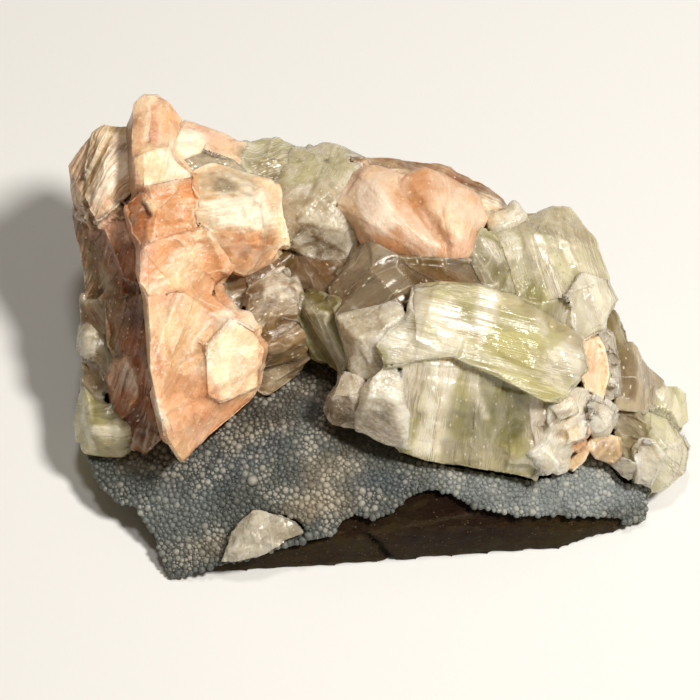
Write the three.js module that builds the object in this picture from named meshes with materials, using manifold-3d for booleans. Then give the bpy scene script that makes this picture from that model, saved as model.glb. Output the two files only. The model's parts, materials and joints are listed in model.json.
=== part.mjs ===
// Apophyllite cluster: green apophyllite blocks and peach stilbite sheaves that grew side by side
// on a sheet of grey chalcedony, which lines a broken wedge of dark basalt.
// Millimetres, +Z up. The origin is the middle of the footprint, on the flat break it rests on.
import * as THREE from 'three';
import Module from 'manifold-3d';
import { ConvexGeometry } from 'three/addons/geometries/ConvexGeometry.js';
import { SimplexNoise } from 'three/addons/math/SimplexNoise.js';
import { mergeVertices } from 'three/addons/utils/BufferGeometryUtils.js';

const wasm = await Module();
wasm.setup();

// Driving dimensions. The minerals grew on a slope, so they are measured on it as [x, s, d]:
// x to the right, s up the slope from the front edge, d out of the slope.
const growthTilt = THREE.MathUtils.degToRad(35); // the slope's lean back from level
const seam = 0.3; // clearance between neighbouring pieces
const bedTop = 5.4; // d of the basalt's crown, under the crust
const bedCrest = 8; // x of that crown
const bedFallRight = 0.0063; // how fast the bed falls away each side of the crown
const bedFallLeft = 0.0024;
const hollowStart = 14; // s where the bed starts to dip into the hollow
const hollowReach = 22;
const hollowDepth = 15;
const crustThickness = 1.6;
const crustLump = 0.55; // height of the crust's broad swellings
const rootDepth = -16; // d that every crystal is drawn down to before its root is fitted
const deep = 70; // farther down than anything reaches

const finish = (color, roughness) => new THREE.MeshStandardMaterial({ color, roughness, metalness: 0 });
const mineral = {
  apophylliteGreen: finish('#b3ae78', 0.18),
  apophylliteClear: finish('#c9c0a8', 0.2),
  apophylliteSmoky: finish('#9c8a63', 0.25),
  stilbitePeach: finish('#ecb98f', 0.4),
  stilbiteCream: finish('#f3dfbf', 0.35),
  stilbiteGolden: finish('#dcb98c', 0.38),
  stilbiteRed: finish('#a8694a', 0.5),
  chalcedony: finish('#7f878a', 0.45),
  basalt: finish('#3f3322', 0.85),
};

const onSlope = ([x, s, d]) => new THREE.Vector3(
  x,
  s * Math.cos(growthTilt) - d * Math.sin(growthTilt),
  s * Math.sin(growthTilt) + d * Math.cos(growthTilt),
);

function solidOf(geometry) {
  geometry.deleteAttribute('normal');
  geometry.deleteAttribute('uv');
  const merged = mergeVertices(geometry, 1e-5);
  return new wasm.Manifold(new wasm.Mesh({
    numProp: 3,
    vertProperties: new Float32Array(merged.attributes.position.array),
    triVerts: new Uint32Array(merged.index.array),
  }));
}

// The largest single body of a solid, without the chips that a cut can leave.
function mainBody(solid) {
  return solid.decompose().reduce((best, part) => (part.volume() > best.volume() ? part : best));
}

const joined = (solids) => solids.reduce((all, next) => all.add(next));
const farBox = solidOf(new THREE.BoxGeometry(4 * deep, 4 * deep, 4 * deep));

// ---- crystals ----

// A convex grain with flat faces: its outer corners, and every second one drawn down to the root.
function grain(corners, { root = rootDepth, taper = 0.82 } = {}) {
  const middle = corners.reduce((sum, [x, s]) => [sum[0] + x, sum[1] + s], [0, 0])
    .map((sum) => sum / corners.length);
  const roots = corners.filter((corner, i) => i % 2 === 0).map(([x, s]) => [
    middle[0] + (x - middle[0]) * taper,
    middle[1] + (s - middle[1]) * taper,
    root,
  ]);
  return [...corners, ...roots].map(onSlope);
}

// A block of apophyllite: square prism, flat ends, corners cut by the pyramid faces.
function block(centre, size, turn, cut = 0.22) {
  const rotation = new THREE.Euler(...turn.map(THREE.MathUtils.degToRad));
  const corners = [];
  for (const sx of [-1, 1]) {
    for (const ss of [-1, 1]) {
      for (const sd of [-1, 1]) {
        for (const axis of [0, 1, 2]) {
          const signs = [sx, ss, sd];
          signs[axis] *= 1 - 2 * cut;
          const corner = new THREE.Vector3(...signs.map((sign, i) => (sign * size[i]) / 2));
          corners.push(corner.applyEuler(rotation).add(new THREE.Vector3(...centre)).toArray());
        }
      }
    }
  }
  return corners.map(onSlope);
}

// The flat faces of a convex set of points, each as an outward normal and its distance.
function facesOf(points) {
  const position = new ConvexGeometry(points).attributes.position;
  const faces = [];
  const corner = [0, 1, 2].map(() => new THREE.Vector3());
  for (let i = 0; i < position.count; i += 3) {
    corner.forEach((vertex, k) => vertex.fromBufferAttribute(position, i + k));
    const plane = new THREE.Plane().setFromCoplanarPoints(...corner);
    const known = faces.some((face) => face.normal.dot(plane.normal) > 0.99999
      && Math.abs(face.distance + plane.constant) < 0.01);
    if (!known) faces.push({ normal: plane.normal, distance: -plane.constant });
  }
  return faces;
}

// The same faces moved out by a clearance, which is what a neighbour is cut back to.
function grown(points, clearance) {
  return facesOf(points).reduce((solid, { normal, distance }) => (
    solid.trimByPlane(normal.clone().negate().toArray(), -(distance + clearance))
  ), farBox);
}

// A sheaf: the grain split into blades side by side, each set back a little from the last.
function bladed(points, { angle, count, step }) {
  const body = solidOf(new ConvexGeometry(points));
  const across = onSlope([
    Math.cos(THREE.MathUtils.degToRad(angle)), Math.sin(THREE.MathUtils.degToRad(angle)), 0,
  ]);
  const along = points.map((point) => point.dot(across));
  const start = Math.min(...along);
  const width = (Math.max(...along) - start) / count;
  const overlap = 0.03;
  const setBack = onSlope([0, 0, -1]);
  const blades = [];
  for (let i = 0; i < count; i += 1) {
    const depth = step * [0, 1, 0.35, 0.8, 0.15][i % 5];
    blades.push(body
      .translate(setBack.clone().multiplyScalar(depth).toArray())
      .intersect(body)
      .trimByPlane(across.toArray(), start + i * width - overlap)
      .trimByPlane(across.clone().negate().toArray(), -(start + (i + 1) * width + overlap)));
  }
  return joined(blades);
}

// ---- the bed they grew on ----

function bedHeight(x, s) {
  const away = x - bedCrest;
  const fall = away * away * (away > 0 ? bedFallRight : bedFallLeft);
  const inward = Math.max(0, s - hollowStart) / hollowReach;
  const hollow = 1 - Math.exp(-inward * inward);
  return bedTop - fall * (1 - 0.6 * hollow) - hollowDepth * hollow;
}

// Everything under a surface over the slope, down to a flat floor.
function under(surface, [xMin, xMax, xCells], [sMin, sMax, sCells]) {
  const geometry = new THREE.BoxGeometry(xMax - xMin, sMax - sMin, 1, xCells, sCells, 1);
  const position = geometry.attributes.position;
  for (let i = 0; i < position.count; i += 1) {
    const x = position.getX(i) + (xMin + xMax) / 2;
    const s = position.getY(i) + (sMin + sMax) / 2;
    const d = position.getZ(i) > 0 ? surface(x, s) : -deep;
    position.setXYZ(i, ...onSlope([x, s, d]).toArray());
  }
  return solidOf(geometry);
}

const bedCellsX = [-80, 80, 13];
const bedCellsS = [-20, 110, 11];
const bed = under(bedHeight, bedCellsX, bedCellsS);

// Basalt: the corners of the broken wedge in plain x, y, z, then the chips knocked out of it.
const wedgeFoot = [
  [-39, 0.2], [-25, 1], [-14.5, 1.8], [4.5, 3.2], [35, 6], [42.5, 8.6], [51.5, 12.1], [53.5, 18],
  [53, 29], [47, 41], [40, 53], [27, 61], [10, 66], [-20, 71], [-42, 68], [-50, 58], [-52, 36],
  [-48, 20], [-42, 8],
].map(([x, y]) => [x, y, 0]);
const wedgeShoulder = [
  [-40, 2, 20], [-25, 4, 20], [-14.5, 5, 20], [10, 5.6, 20], [35, 9.6, 20], [52.5, 14, 20],
  [54.5, 19, 25], [53.5, 31, 30], [48.5, 42, 35], [41.5, 55, 40], [29, 63, 45], [12, 68.5, 50],
  [-10, 73.5, 50], [-32, 75.5, 50], [-48, 73, 50], [-55, 65, 45], [-56.5, 38, 30], [-54, 21, 20],
  [-46, 12, 14],
];
const chips = [
  // the hollow under the front lip
  [[-3, 4.2, 9.2], [4.4, 4.5, 11], [10, 4.8, 11.8], [17.7, 5.8, 11.2], [24, 6.8, 10.4],
    [10, 9.4, 14.6], [2, 7.8, 13.2], [18, 8.4, 12.4], [-4, -4, 9], [25, -4, 10], [10, -4, 12],
    [10, -4, 30], [-3, 5, 30], [24, 8, 30], [10, 10, 30]],
  // the crack across the front face
  [[-3.2, 2, 9.6], [-2.2, 2, 9.6], [-2.7, 6.2, 9.6], [3.6, 1, -1], [4.6, 1, -1], [4.1, 4.8, -1]],
  // flakes off the left side, the back and the right side
  [[-60, 14, 12], [-60, 30, 10], [-60, 24, -1], [-50, 18, 4], [-51.5, 30, 4], [-49, 16, -1],
    [-50, 28, -1], [-62, 12, -1], [-62, 32, -1]],
  [[-46, 80, 27], [-22, 82, 24], [-20, 72, 22], [-40, 66, 22], [-30, 80, 4], [-30, 70, 8]],
  [[0, 80, 22], [26, 76, 20], [24, 62, 17], [2, 68.5, 18], [4, 80, -1], [24, 74, -1], [6, 66, -1],
    [22, 62, -1]],
  [[60, 26, 12], [60, 44, 16], [53.5, 27, 8], [47.5, 42, 12], [60, 30, 1], [60, 44, 1], [51, 33, 3]],
  [[-12, 90, 26], [4, 90, 30], [-9, 71.5, 29], [1, 72, 26], [-14, 80, 9], [0, 90, 8], [-7, 68, 12]],
  [[44, 60, 33], [60, 40, 26], [37, 56, 24], [50, 38, 20], [44, 46, 9], [60, 60, 9], [41, 52, 8]],
].map((corners) => solidOf(new ConvexGeometry(corners.map((corner) => new THREE.Vector3(...corner)))));
const wedge = [...wedgeFoot, ...wedgeShoulder].map((corner) => new THREE.Vector3(...corner));

// Chalcedony: a lumpy sheet inside this outline, [x, s].
const crustOutline = [
  [-39.5, 0.2], [-36, 0.4], [-30.5, 2.5], [-25, 3.4], [-14.5, 7], [-8.5, 8], [-6.5, 11], [-4.5, 12.3],
  [-0.5, 11.4], [3, 12.8], [6, 15.5], [10, 17], [14, 16], [17.5, 14], [20, 13.2], [23.5, 12.7],
  [27, 11.8], [35, 11.8], [42, 11.5], [46, 11.2], [48, 10], [51.5, 10.6], [52, 14.5], [52.5, 22],
  [48, 32], [30, 37], [5, 38], [-8, 46], [-30, 48], [-48, 42], [-54, 31], [-55.5, 23], [-53, 18],
  [-49.5, 14], [-46, 13.5], [-44.5, 11], [-42.5, 8.5], [-41, 4],
];

function seededRandom(seed) {
  let state = seed;
  return { random: () => {
    state = (state * 16807) % 2147483647;
    return state / 2147483647;
  } };
}
const swell = new SimplexNoise(seededRandom(11));

function crustHeight(x, s) {
  const broad = swell.noise(x / 9, s / 9);
  const fine = swell.noise(x / 3.6 + 40, s / 3.6);
  return bedHeight(x, s) + crustThickness + crustLump * (0.6 * broad + 0.5 * fine);
}

function crustSheet() {
  const prism = new THREE.ExtrudeGeometry(
    new THREE.Shape(crustOutline.map((point) => new THREE.Vector2(...point))),
    { depth: 2 * deep, bevelEnabled: false },
  );
  const position = prism.attributes.position;
  for (let i = 0; i < position.count; i += 1) {
    const corner = [position.getX(i), position.getY(i), position.getZ(i) - deep];
    position.setXYZ(i, ...onSlope(corner).toArray());
  }
  return solidOf(prism).intersect(under(crustHeight, [-60, 56, 25], [-2, 50, 11])).subtract(bed);
}

// ---- the crystals, nearest the eye first: a later one is cut back to clear those before it ----

const crystals = [];

function grow(name, material, grains, blades) {
  const body = joined(grains.map((points, i) => (
    blades && i < (blades.of ?? 1) ? bladed(points, blades) : solidOf(new ConvexGeometry(points)))));
  crystals.push({ name, material, body, cutters: grains.map((points) => grown(points, seam)) });
}

// The big green crystal: two blocks on one stem, a crack between them.
function mainApophyllite() {
  grow('apophyllite_main_upper', mineral.apophylliteGreen, [
    grain([[6.5, 55, 15], [11.5, 55.5, 16], [19, 55, 16], [22, 54, 16], [31, 48.5, 15],
      [38.5, 44.5, 11], [40, 39.5, 11.5], [34, 34, 17.5], [31, 33.5, 19.5], [28, 35, 21],
      [22.5, 38.5, 21.5], [14.5, 41.5, 21], [7, 45, 19.5]]),
    grain([[6.5, 50, 16.5], [2.5, 47, 16.5], [-0.5, 43.5, 16.5], [1.5, 40.5, 18.5], [14.5, 42, 21],
      [16, 46, 19.5]]),
  ], { angle: 76, count: 5, step: 0.4 });
  grow('apophyllite_main_lower', mineral.apophylliteGreen, [
    grain([[5, 41, 18.5], [5.5, 31, 14], [3.5, 24.5, 9.5], [3.5, 23.5, 9], [10, 21.5, 9],
      [22.5, 19.5, 9], [30, 18, 8], [30.5, 26.5, 12], [32, 33, 15], [28, 35.5, 19], [22.5, 38, 20.5],
      [14.5, 41.5, 20]], { taper: 0.75 }),
  ], { angle: -4, count: 4, step: 0.45 });
}

// The two small blocks at its left foot.
function cubes() {
  grow('apophyllite_cube_large', mineral.apophylliteClear, [
    grain([[1, 39.5, 16.5], [-1, 38, 16], [-2, 36, 15], [-4, 31, 11], [-4, 28, 9], [1.5, 25.5, 10],
      [5.5, 24.5, 11], [6, 31, 15], [4.5, 33.5, 17.5], [4.5, 39.5, 18], [-2, 34, 16], [1, 34, 17.5],
      [3, 32.5, 17.5]], { taper: 0.7 }),
  ]);
  grow('apophyllite_cube_small', mineral.apophylliteClear, [
    grain([[-7, 39, 10], [-4.5, 38, 12], [-2.5, 37, 12], [-3.5, 27.5, 8], [-8.5, 29, 6],
      [-10.5, 31.5, 5], [-9.5, 34.5, 8], [-8.5, 34.5, 11.5], [-6, 34.5, 13], [-3.5, 35.5, 13]],
    { taper: 0.7 }),
  ]);
}

// Stepped crystals between the big one and the hollow.
function middleApophyllites() {
  grow('apophyllite_step', mineral.apophylliteClear, [
    grain([[-8, 49.5, 11], [3.5, 52, 12.5], [5, 51, 13.5], [5, 50, 14.5], [1, 47, 16.5],
      [-0.5, 45, 16.5], [-4, 45.5, 15], [0.5, 38.5, 12.5], [-4.5, 38, 8], [4, 39, 15]]),
  ], { angle: 30, count: 3, step: 0.5 });
  grow('apophyllite_long', mineral.apophylliteGreen, [
    grain([[-15, 51.5, 4], [-13.5, 54.5, 3], [-9.5, 53.5, 6], [-11, 50, 9], [-5.5, 39.5, 7],
      [-7.5, 38.5, 3], [-15, 49.5, 4], [-9.5, 39.5, 2], [-6, 52.5, 8]]),
  ], { angle: 22, count: 3, step: 0.7 });
  grow('apophyllite_smoky_upper', mineral.apophylliteSmoky, [
    grain([[-9, 56, 4], [-6, 59, 5], [-3.5, 63, 3], [3.5, 60, 8], [6.5, 55.5, 11], [5.5, 51.5, 12],
      [3.5, 53, 12.5], [-1.5, 58.5, 10], [-6, 51.5, 9], [-8, 49.5, 9]]),
  ]);
  grow('apophyllite_smoky_right', mineral.apophylliteSmoky, [
    grain([[3.5, 60.5, 7], [12, 60, 8], [18, 60, 8], [20, 55.5, 12], [12, 56, 13.5], [6.5, 55.5, 11]]),
  ]);
}

// The second big crystal, behind on the right, with the facets on its flank.
function backApophyllite() {
  grow('apophyllite_back_right', mineral.apophylliteGreen, [
    grain([[16, 59.5, 6], [18, 63.5, 4], [19, 65.5, 2], [27, 68.5, 1], [32, 70.5, -1],
      [33.5, 71, -1], [37, 70.5, -3], [39, 68, -2], [42.5, 63.5, 1], [44.5, 57, 3], [46.5, 52.5, 2],
      [43, 47, 4], [38.5, 45, 8], [34.5, 52.5, 14], [22.5, 54.5, 12.5], [16.5, 55.5, 9],
      [29.5, 65.5, 8]]),
    grain([[38, 58.5, 9.5], [44, 57, 6], [46, 52.5, 4], [43, 47.5, 6], [39, 46, 10], [34.5, 53, 14.5]],
      { root: -4, taper: 0.9 }),
  ], { angle: 18, count: 3, step: 0.5 });
}

// The tall stilbite fin on the left: crest, shoulder, middle and foot.
function stilbiteFin() {
  grow('stilbite_fin_foot', mineral.stilbitePeach, [
    grain([[-43, 53, 15], [-42, 39.5, 18], [-39.5, 26.5, 16], [-36.5, 21.5, 12], [-32.5, 25, 10],
      [-28.5, 29, 9], [-23.5, 33, 9], [-21.5, 36, 9], [-21.5, 43.5, 9], [-24.5, 49, 9],
      [-30.5, 53, 10], [-37, 54.5, 14]]),
    grain([[-32, 44, 15], [-27, 49.5, 13], [-22.5, 47, 11], [-21, 43, 10], [-22, 36, 10.5],
      [-29, 33, 13.5], [-31.5, 34.5, 14.5]], { root: -6, taper: 0.9 }),
    grain([[-42.5, 34.5, 15], [-41, 37, 17.5], [-38, 28, 15.5], [-39, 26, 13], [-41, 29.5, 13]]),
  ], { angle: -20, count: 3, step: 0.5 });
  grow('stilbite_fin_middle', mineral.stilbitePeach, [
    grain([[-44.5, 61.5, 14], [-42.5, 63.5, 15], [-33, 66.5, 10], [-29, 63.5, 9], [-26.5, 59.5, 8],
      [-30, 54, 8], [-35, 52, 10], [-42.5, 51.5, 15], [-44.5, 55.5, 15]]),
  ], { angle: 40, count: 3, step: 0.5 });
  grow('stilbite_fin_shoulder', mineral.stilbitePeach, [
    grain([[-47, 71, 9], [-43.5, 73.5, 11], [-34, 76.5, 8], [-33.5, 70.5, 8], [-34.5, 63.5, 9],
      [-42.5, 61.5, 13], [-46, 65, 12], [-41, 69, 13]]),
  ]);
  grow('stilbite_fin_crest', mineral.stilbitePeach, [
    grain([[-46, 85, 6], [-46, 89.5, 5], [-44, 91.5, 4], [-41.5, 91.5, 3], [-42.5, 88, 6],
      [-43, 82, 9], [-43, 76, 12], [-43.5, 73.5, 13], [-45.5, 73.5, 12], [-46, 80, 10]],
    { root: -12, taper: 0.9 }),
    grain([[-42, 91.5, 3.5], [-39.5, 90, 4], [-36.8, 86.5, 4], [-38.5, 82, 8], [-40, 78, 10],
      [-43, 74, 12], [-43.5, 83, 7]], { root: -12, taper: 0.9 }),
    grain([[-45.5, 79, 11], [-43.5, 80, 11.5], [-39, 81.5, 9.5], [-35, 77, 9], [-34.5, 75.5, 9],
      [-43.5, 73.5, 13.5], [-45.5, 74, 12.5]], { root: -12, taper: 0.9 }),
  ]);
}

// The golden double sheaf at the top left corner.
function goldenSheaf() {
  grow('stilbite_golden_sheaf', mineral.stilbiteGolden, [
    grain([[-54.5, 84.5, 0], [-52, 86.5, -1], [-48, 85.5, 0], [-47.5, 79, 3], [-47, 73.5, 4],
      [-50.5, 68.5, 5], [-53.5, 66.5, 4], [-56, 72, 3], [-56, 78, 2], [-51.5, 78, 5.5],
      [-50.5, 84, 2]], { root: -13, taper: 0.85 }),
    grain([[-59.5, 78.5, -2], [-57.5, 81, -2], [-54.5, 84, -1], [-55.5, 79, 1], [-56.5, 72, 2],
      [-55, 67, 1], [-57, 68, -1], [-59, 70.5, -3]], { root: -13, taper: 0.8 }),
  ], { angle: -28, count: 4, step: 0.6 });
}

// The cream block beside the fin.
function creamBlock() {
  grow('stilbite_cream_block', mineral.stilbiteCream, [
    grain([[-35, 77, 4], [-31, 78.5, 3], [-23, 76.5, 2], [-19, 75.5, 1], [-18, 71.5, 1], [-18, 67, 2],
      [-16.5, 62.5, 1], [-24.5, 57, 6], [-29, 57.5, 9], [-33, 63, 10], [-34.5, 70.5, 9],
      [-26, 69, 10], [-24, 63, 10], [-30, 72, 9]]),
  ], { angle: 75, count: 2, step: 0.6 });
}

// The bow-tie sheaf at the top: two fanned lobes that meet in a groove, and the layer behind it.
function bowTie() {
  grow('stilbite_bow_tie', mineral.stilbitePeach, [
    grain([[-3.5, 78.5, 1], [0, 79, 0], [4, 77, 2], [6, 70.5, 6], [12.5, 62, 9], [12, 59.5, 8],
      [4.5, 60.5, 8], [-2.5, 64.5, 7], [-6, 68.5, 4], [-8, 70.5, 2], [-4, 75.5, 3], [1, 73, 8.5],
      [6, 66, 10.5], [0, 67, 9.5]], { taper: 0.7 }),
    grain([[5.5, 77, 1], [8.5, 79, -1], [14, 76.5, -1], [19.5, 73, -1], [20.5, 70.5, 0],
      [18.5, 64, 5], [17.5, 60.5, 7], [14.5, 59.5, 7], [12.5, 61.5, 8], [6, 71, 5], [12, 73, 5],
      [15.5, 66, 8.5]], { taper: 0.7 }),
  ], { angle: 38, count: 4, step: 0.5 });
  grow('stilbite_back_layer', mineral.stilbiteGolden, [
    grain([[-6, 81.5, -8], [0.5, 80, -7], [8.5, 80, -8], [14, 78.5, -8], [20, 76, -8], [25, 72.5, -9],
      [27, 69.5, -8], [23.5, 67, -4], [20, 72, -3], [5, 78, -4], [-5, 79, -4]]),
  ]);
  grow('apophyllite_back_small', mineral.apophylliteClear, [
    block([22, 72, -4], [3.2, 3.4, 8], [0, 0, 35]),
    block([24, 68, -3.5], [5.5, 3.4, 8], [0, 10, 30]),
  ]);
}

// Grey-green apophyllite along the top, between the bow-tie and the cream block.
function topApophyllites() {
  grow('apophyllite_top_centre', mineral.apophylliteClear, [
    grain([[-19, 76, -4], [-16, 82, -8], [-10.5, 83.5, -9], [-6, 82, -8], [-2, 80, -5],
      [-4, 65, 1], [-5.5, 60.5, 1], [-10, 60, 0], [-14, 61.5, 0], [-18, 62.5, -1], [-19.5, 68, -2],
      [-9, 73, 3], [-14, 69, 3.5], [-12, 77, -1]]),
  ]);
  grow('apophyllite_top_left', mineral.apophylliteGreen, [
    grain([[-26.5, 83.5, -8], [-20, 84.5, -10], [-14.5, 82.5, -10], [-14.5, 79, -5], [-17.5, 74.5, -4],
      [-25, 75, -2], [-26.5, 79.5, -4], [-21, 80.5, -3]]),
  ]);
}

// The pink and cream ridge behind the fin.
function backRidge() {
  grow('stilbite_back_ridge', mineral.stilbitePeach, [
    grain([[-38, 86.5, -2], [-36.5, 87, -4], [-32.5, 85.5, -5], [-29, 84.5, -6], [-25, 82, -6],
      [-26, 79.5, -3], [-31, 80, 0], [-36, 82, 1], [-38, 84.5, 1]]),
    grain([[-41, 83.5, 3], [-40, 86, 1.5], [-34.5, 84.5, 1], [-32.5, 82.5, 1.5], [-33.5, 80.5, 3],
      [-37, 79, 5], [-40.5, 80, 5]]),
    grain([[-29, 83, -4], [-24.5, 83, -6], [-23.5, 78.5, -4], [-28, 78.5, -2]]),
  ]);
  grow('apophyllite_crescent', mineral.apophylliteSmoky, [
    grain([[-36.5, 80, 3], [-34, 81.5, 2], [-30.5, 81, 1], [-26.5, 79, -1], [-24, 77, -3],
      [-25, 75, -1], [-34, 75, 3], [-36, 77.5, 5]]),
  ]);
}

// The shaded left flank below the golden sheaf.
function leftFlank() {
  grow('stilbite_flank_upper', mineral.stilbiteRed, [
    grain([[-58.5, 69, -4], [-55.5, 70, -1], [-50.5, 71, 4], [-46, 71.5, 6], [-44, 58, 6],
      [-46, 52, 3], [-55.5, 52.5, -3], [-57, 60, -4]]),
    grain([[-52, 65, 4], [-48, 69, 7], [-45.5, 61, 8], [-46, 55, 6.5], [-48.5, 56, 5]]),
  ], { angle: -35, count: 3, step: 0.7 });
  grow('stilbite_lens', mineral.stilbiteRed, [
    grain([[-47.5, 42, 3.5], [-46, 37.5, 5.5], [-47, 31.5, 4.5], [-49.5, 33.5, 1.5], [-51.5, 38, 0.5]]),
  ]);
  grow('stilbite_flank_lower', mineral.stilbiteRed, [
    grain([[-48, 53, 3], [-44.5, 54, 7], [-43.5, 40, 8], [-41, 26, 6], [-44, 23, 2], [-48, 25, 0],
      [-49, 35, 0], [-49, 45, 1]]),
    grain([[-51.5, 53, 1], [-48, 53.5, 4], [-46, 46, 5], [-48, 41, 3], [-51, 44, 0]]),
  ], { angle: -10, count: 3, step: 0.6 });
  grow('apophyllite_flank_grey', mineral.apophylliteClear, [
    grain([[-56.5, 53.5, -4], [-53, 54, -1], [-50.5, 50, 1], [-52, 45.5, -1], [-56, 47, -5]]),
    grain([[-55.5, 47, -4], [-52, 47.5, -1], [-50.5, 43, 0], [-51, 35, -1], [-53, 33, -2],
      [-56, 35, -5]]),
  ]);
  grow('apophyllite_bud', mineral.apophylliteClear, [
    grain([[-57, 48, -5], [-55, 49.5, -3.5], [-52.5, 48, -2], [-52, 43.5, -1.5], [-53.5, 39, -3],
      [-56, 39.5, -5], [-57.5, 44, -6], [-55, 45, -1.5]]),
  ]);
  grow('apophyllite_left_foot', mineral.apophylliteGreen, [
    grain([[-56.5, 37.5, -4], [-55.5, 35, -1], [-48.5, 30, 2], [-46, 25.5, 1], [-48.5, 23.5, 0],
      [-51.5, 23.5, -1], [-55.5, 24, -3], [-58, 25.5, -5], [-58.5, 29.5, -5], [-57.5, 34.5, -5],
      [-53.5, 28, 3], [-49, 28.5, 3], [-56.5, 28.5, -1]]),
  ], { angle: 80, count: 2, step: 0.5 });
}

// What stands in the hollow between the fin and the green crystals.
function hollowCrystals() {
  grow('stilbite_hollow_column', mineral.stilbiteCream, [
    grain([[-19, 58, 2], [-17, 59, 1], [-16, 57.5, 2], [-17, 56, 4], [-14.5, 48, 3.5],
      [-14, 43.5, 2], [-15, 41.5, 1], [-21, 40, 3], [-22, 47, 5.5], [-23, 50.5, 6], [-24, 53.5, 5],
      [-23.5, 55, 4], [-20.5, 48.5, 7], [-18.5, 43, 5.5]]),
  ], { angle: 68, count: 4, step: 0.7 });
  grow('stilbite_hollow_ledge', mineral.stilbiteCream, [
    grain([[-23, 40, 0.5], [-18, 41, 1], [-13.5, 41, 0], [-15, 39.5, -1.5], [-20, 36.5, -1], [-23, 37, 0]]),
    grain([[-22.5, 38, -1.5], [-15, 38.5, -2.5], [-18, 36.5, -2.5], [-21, 34, -1.5], [-22.5, 35.5, -1]]),
  ]);
  grow('apophyllite_hollow_right', mineral.apophylliteSmoky, [
    grain([[-15, 62, -2], [-8.5, 61.5, 0], [-5.5, 60.5, 1], [-8, 55.5, 3], [-10.5, 54.5, 1],
      [-15, 56, -3]]),
  ]);
  grow('apophyllite_hollow_left', mineral.apophylliteSmoky, [
    grain([[-29, 57, 3], [-24.5, 57, 3], [-19, 60.5, -2], [-15, 61, -3], [-18, 54, -3], [-26, 51, 2]]),
  ]);
}

// The mixed crystals at the right foot of the big one.
function rightFoot() {
  grow('apophyllite_right_cluster', mineral.apophylliteClear, [
    grain([[23, 20.5, 8.5], [25.5, 22.5, 11.5], [29, 24, 13], [32, 26.5, 13], [33.5, 29.5, 12],
      [37, 24, 7], [34, 20, 5], [32.5, 18.5, 6], [28, 18.5, 7]], { taper: 0.75 }),
    grain([[31.5, 31, 14], [31.5, 32.5, 14.5], [36, 35.5, 12.5], [39.5, 35.5, 9], [38, 29.5, 9],
      [33, 27.5, 12.5]], { taper: 0.75 }),
    block([34.5, 32.5, 12.5], [4, 3, 3.5], [10, 20, 25]),
    block([31.5, 22.5, 10], [4, 5, 3.5], [20, -10, 40]),
    block([36.5, 28, 9], [4, 4.5, 4], [-10, 25, 15]),
  ]);
  grow('stilbite_right_patch', mineral.stilbiteCream, [
    grain([[40.5, 47.5, 6.5], [37.5, 45, 8], [38, 38, 9.5], [39.5, 35.5, 9], [42.5, 34, 7],
      [43.5, 39, 6.5], [42.5, 44, 6]]),
  ]);
  grow('stilbite_right_blade', mineral.stilbiteCream, [
    grain([[38, 30.5, 10], [39.5, 31.5, 9.5], [39.8, 27.5, 8.5], [38.5, 24, 6.5], [37, 23.5, 5.5],
      [36, 25, 6.5], [37, 28, 9]], { taper: 0.75 }),
  ]);
  grow('apophyllite_right_point', mineral.apophylliteClear, [
    grain([[41, 34.5, 10], [39.5, 33, 12], [39.5, 30, 11], [39.5, 27, 8], [41, 26.5, 8],
      [43.5, 28, 8], [46, 31, 5.5], [45, 32.5, 6.5], [43, 34, 8.5], [42, 31, 11]], { taper: 0.7 }),
  ]);
  grow('stilbite_right_foot', mineral.stilbiteGolden, [
    grain([[41, 26.5, 4], [46, 26.5, 3], [46, 24, 3], [44, 22, 3], [41.5, 22.5, 4], [40, 25, 5]]),
    grain([[41, 25.5, 4.5], [39, 22, 4], [37, 19.5, 3.5], [36.3, 20, 3.5], [39, 24.5, 4.5]]),
  ]);
  grow('apophyllite_right_sparkle', mineral.apophylliteClear, [
    grain([[42, 48, 3.5], [45, 46.5, 3.5], [46, 39, 3.5], [46, 34.5, 3.5], [43.5, 33.5, 5],
      [42.5, 37, 6], [42.5, 43, 6]]),
    block([44.2, 42, 4.4], [2.6, 4, 3], [15, 20, 20]),
    block([44.4, 37, 4.6], [2.4, 3, 3], [-10, 15, -15]),
  ]);
}

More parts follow.
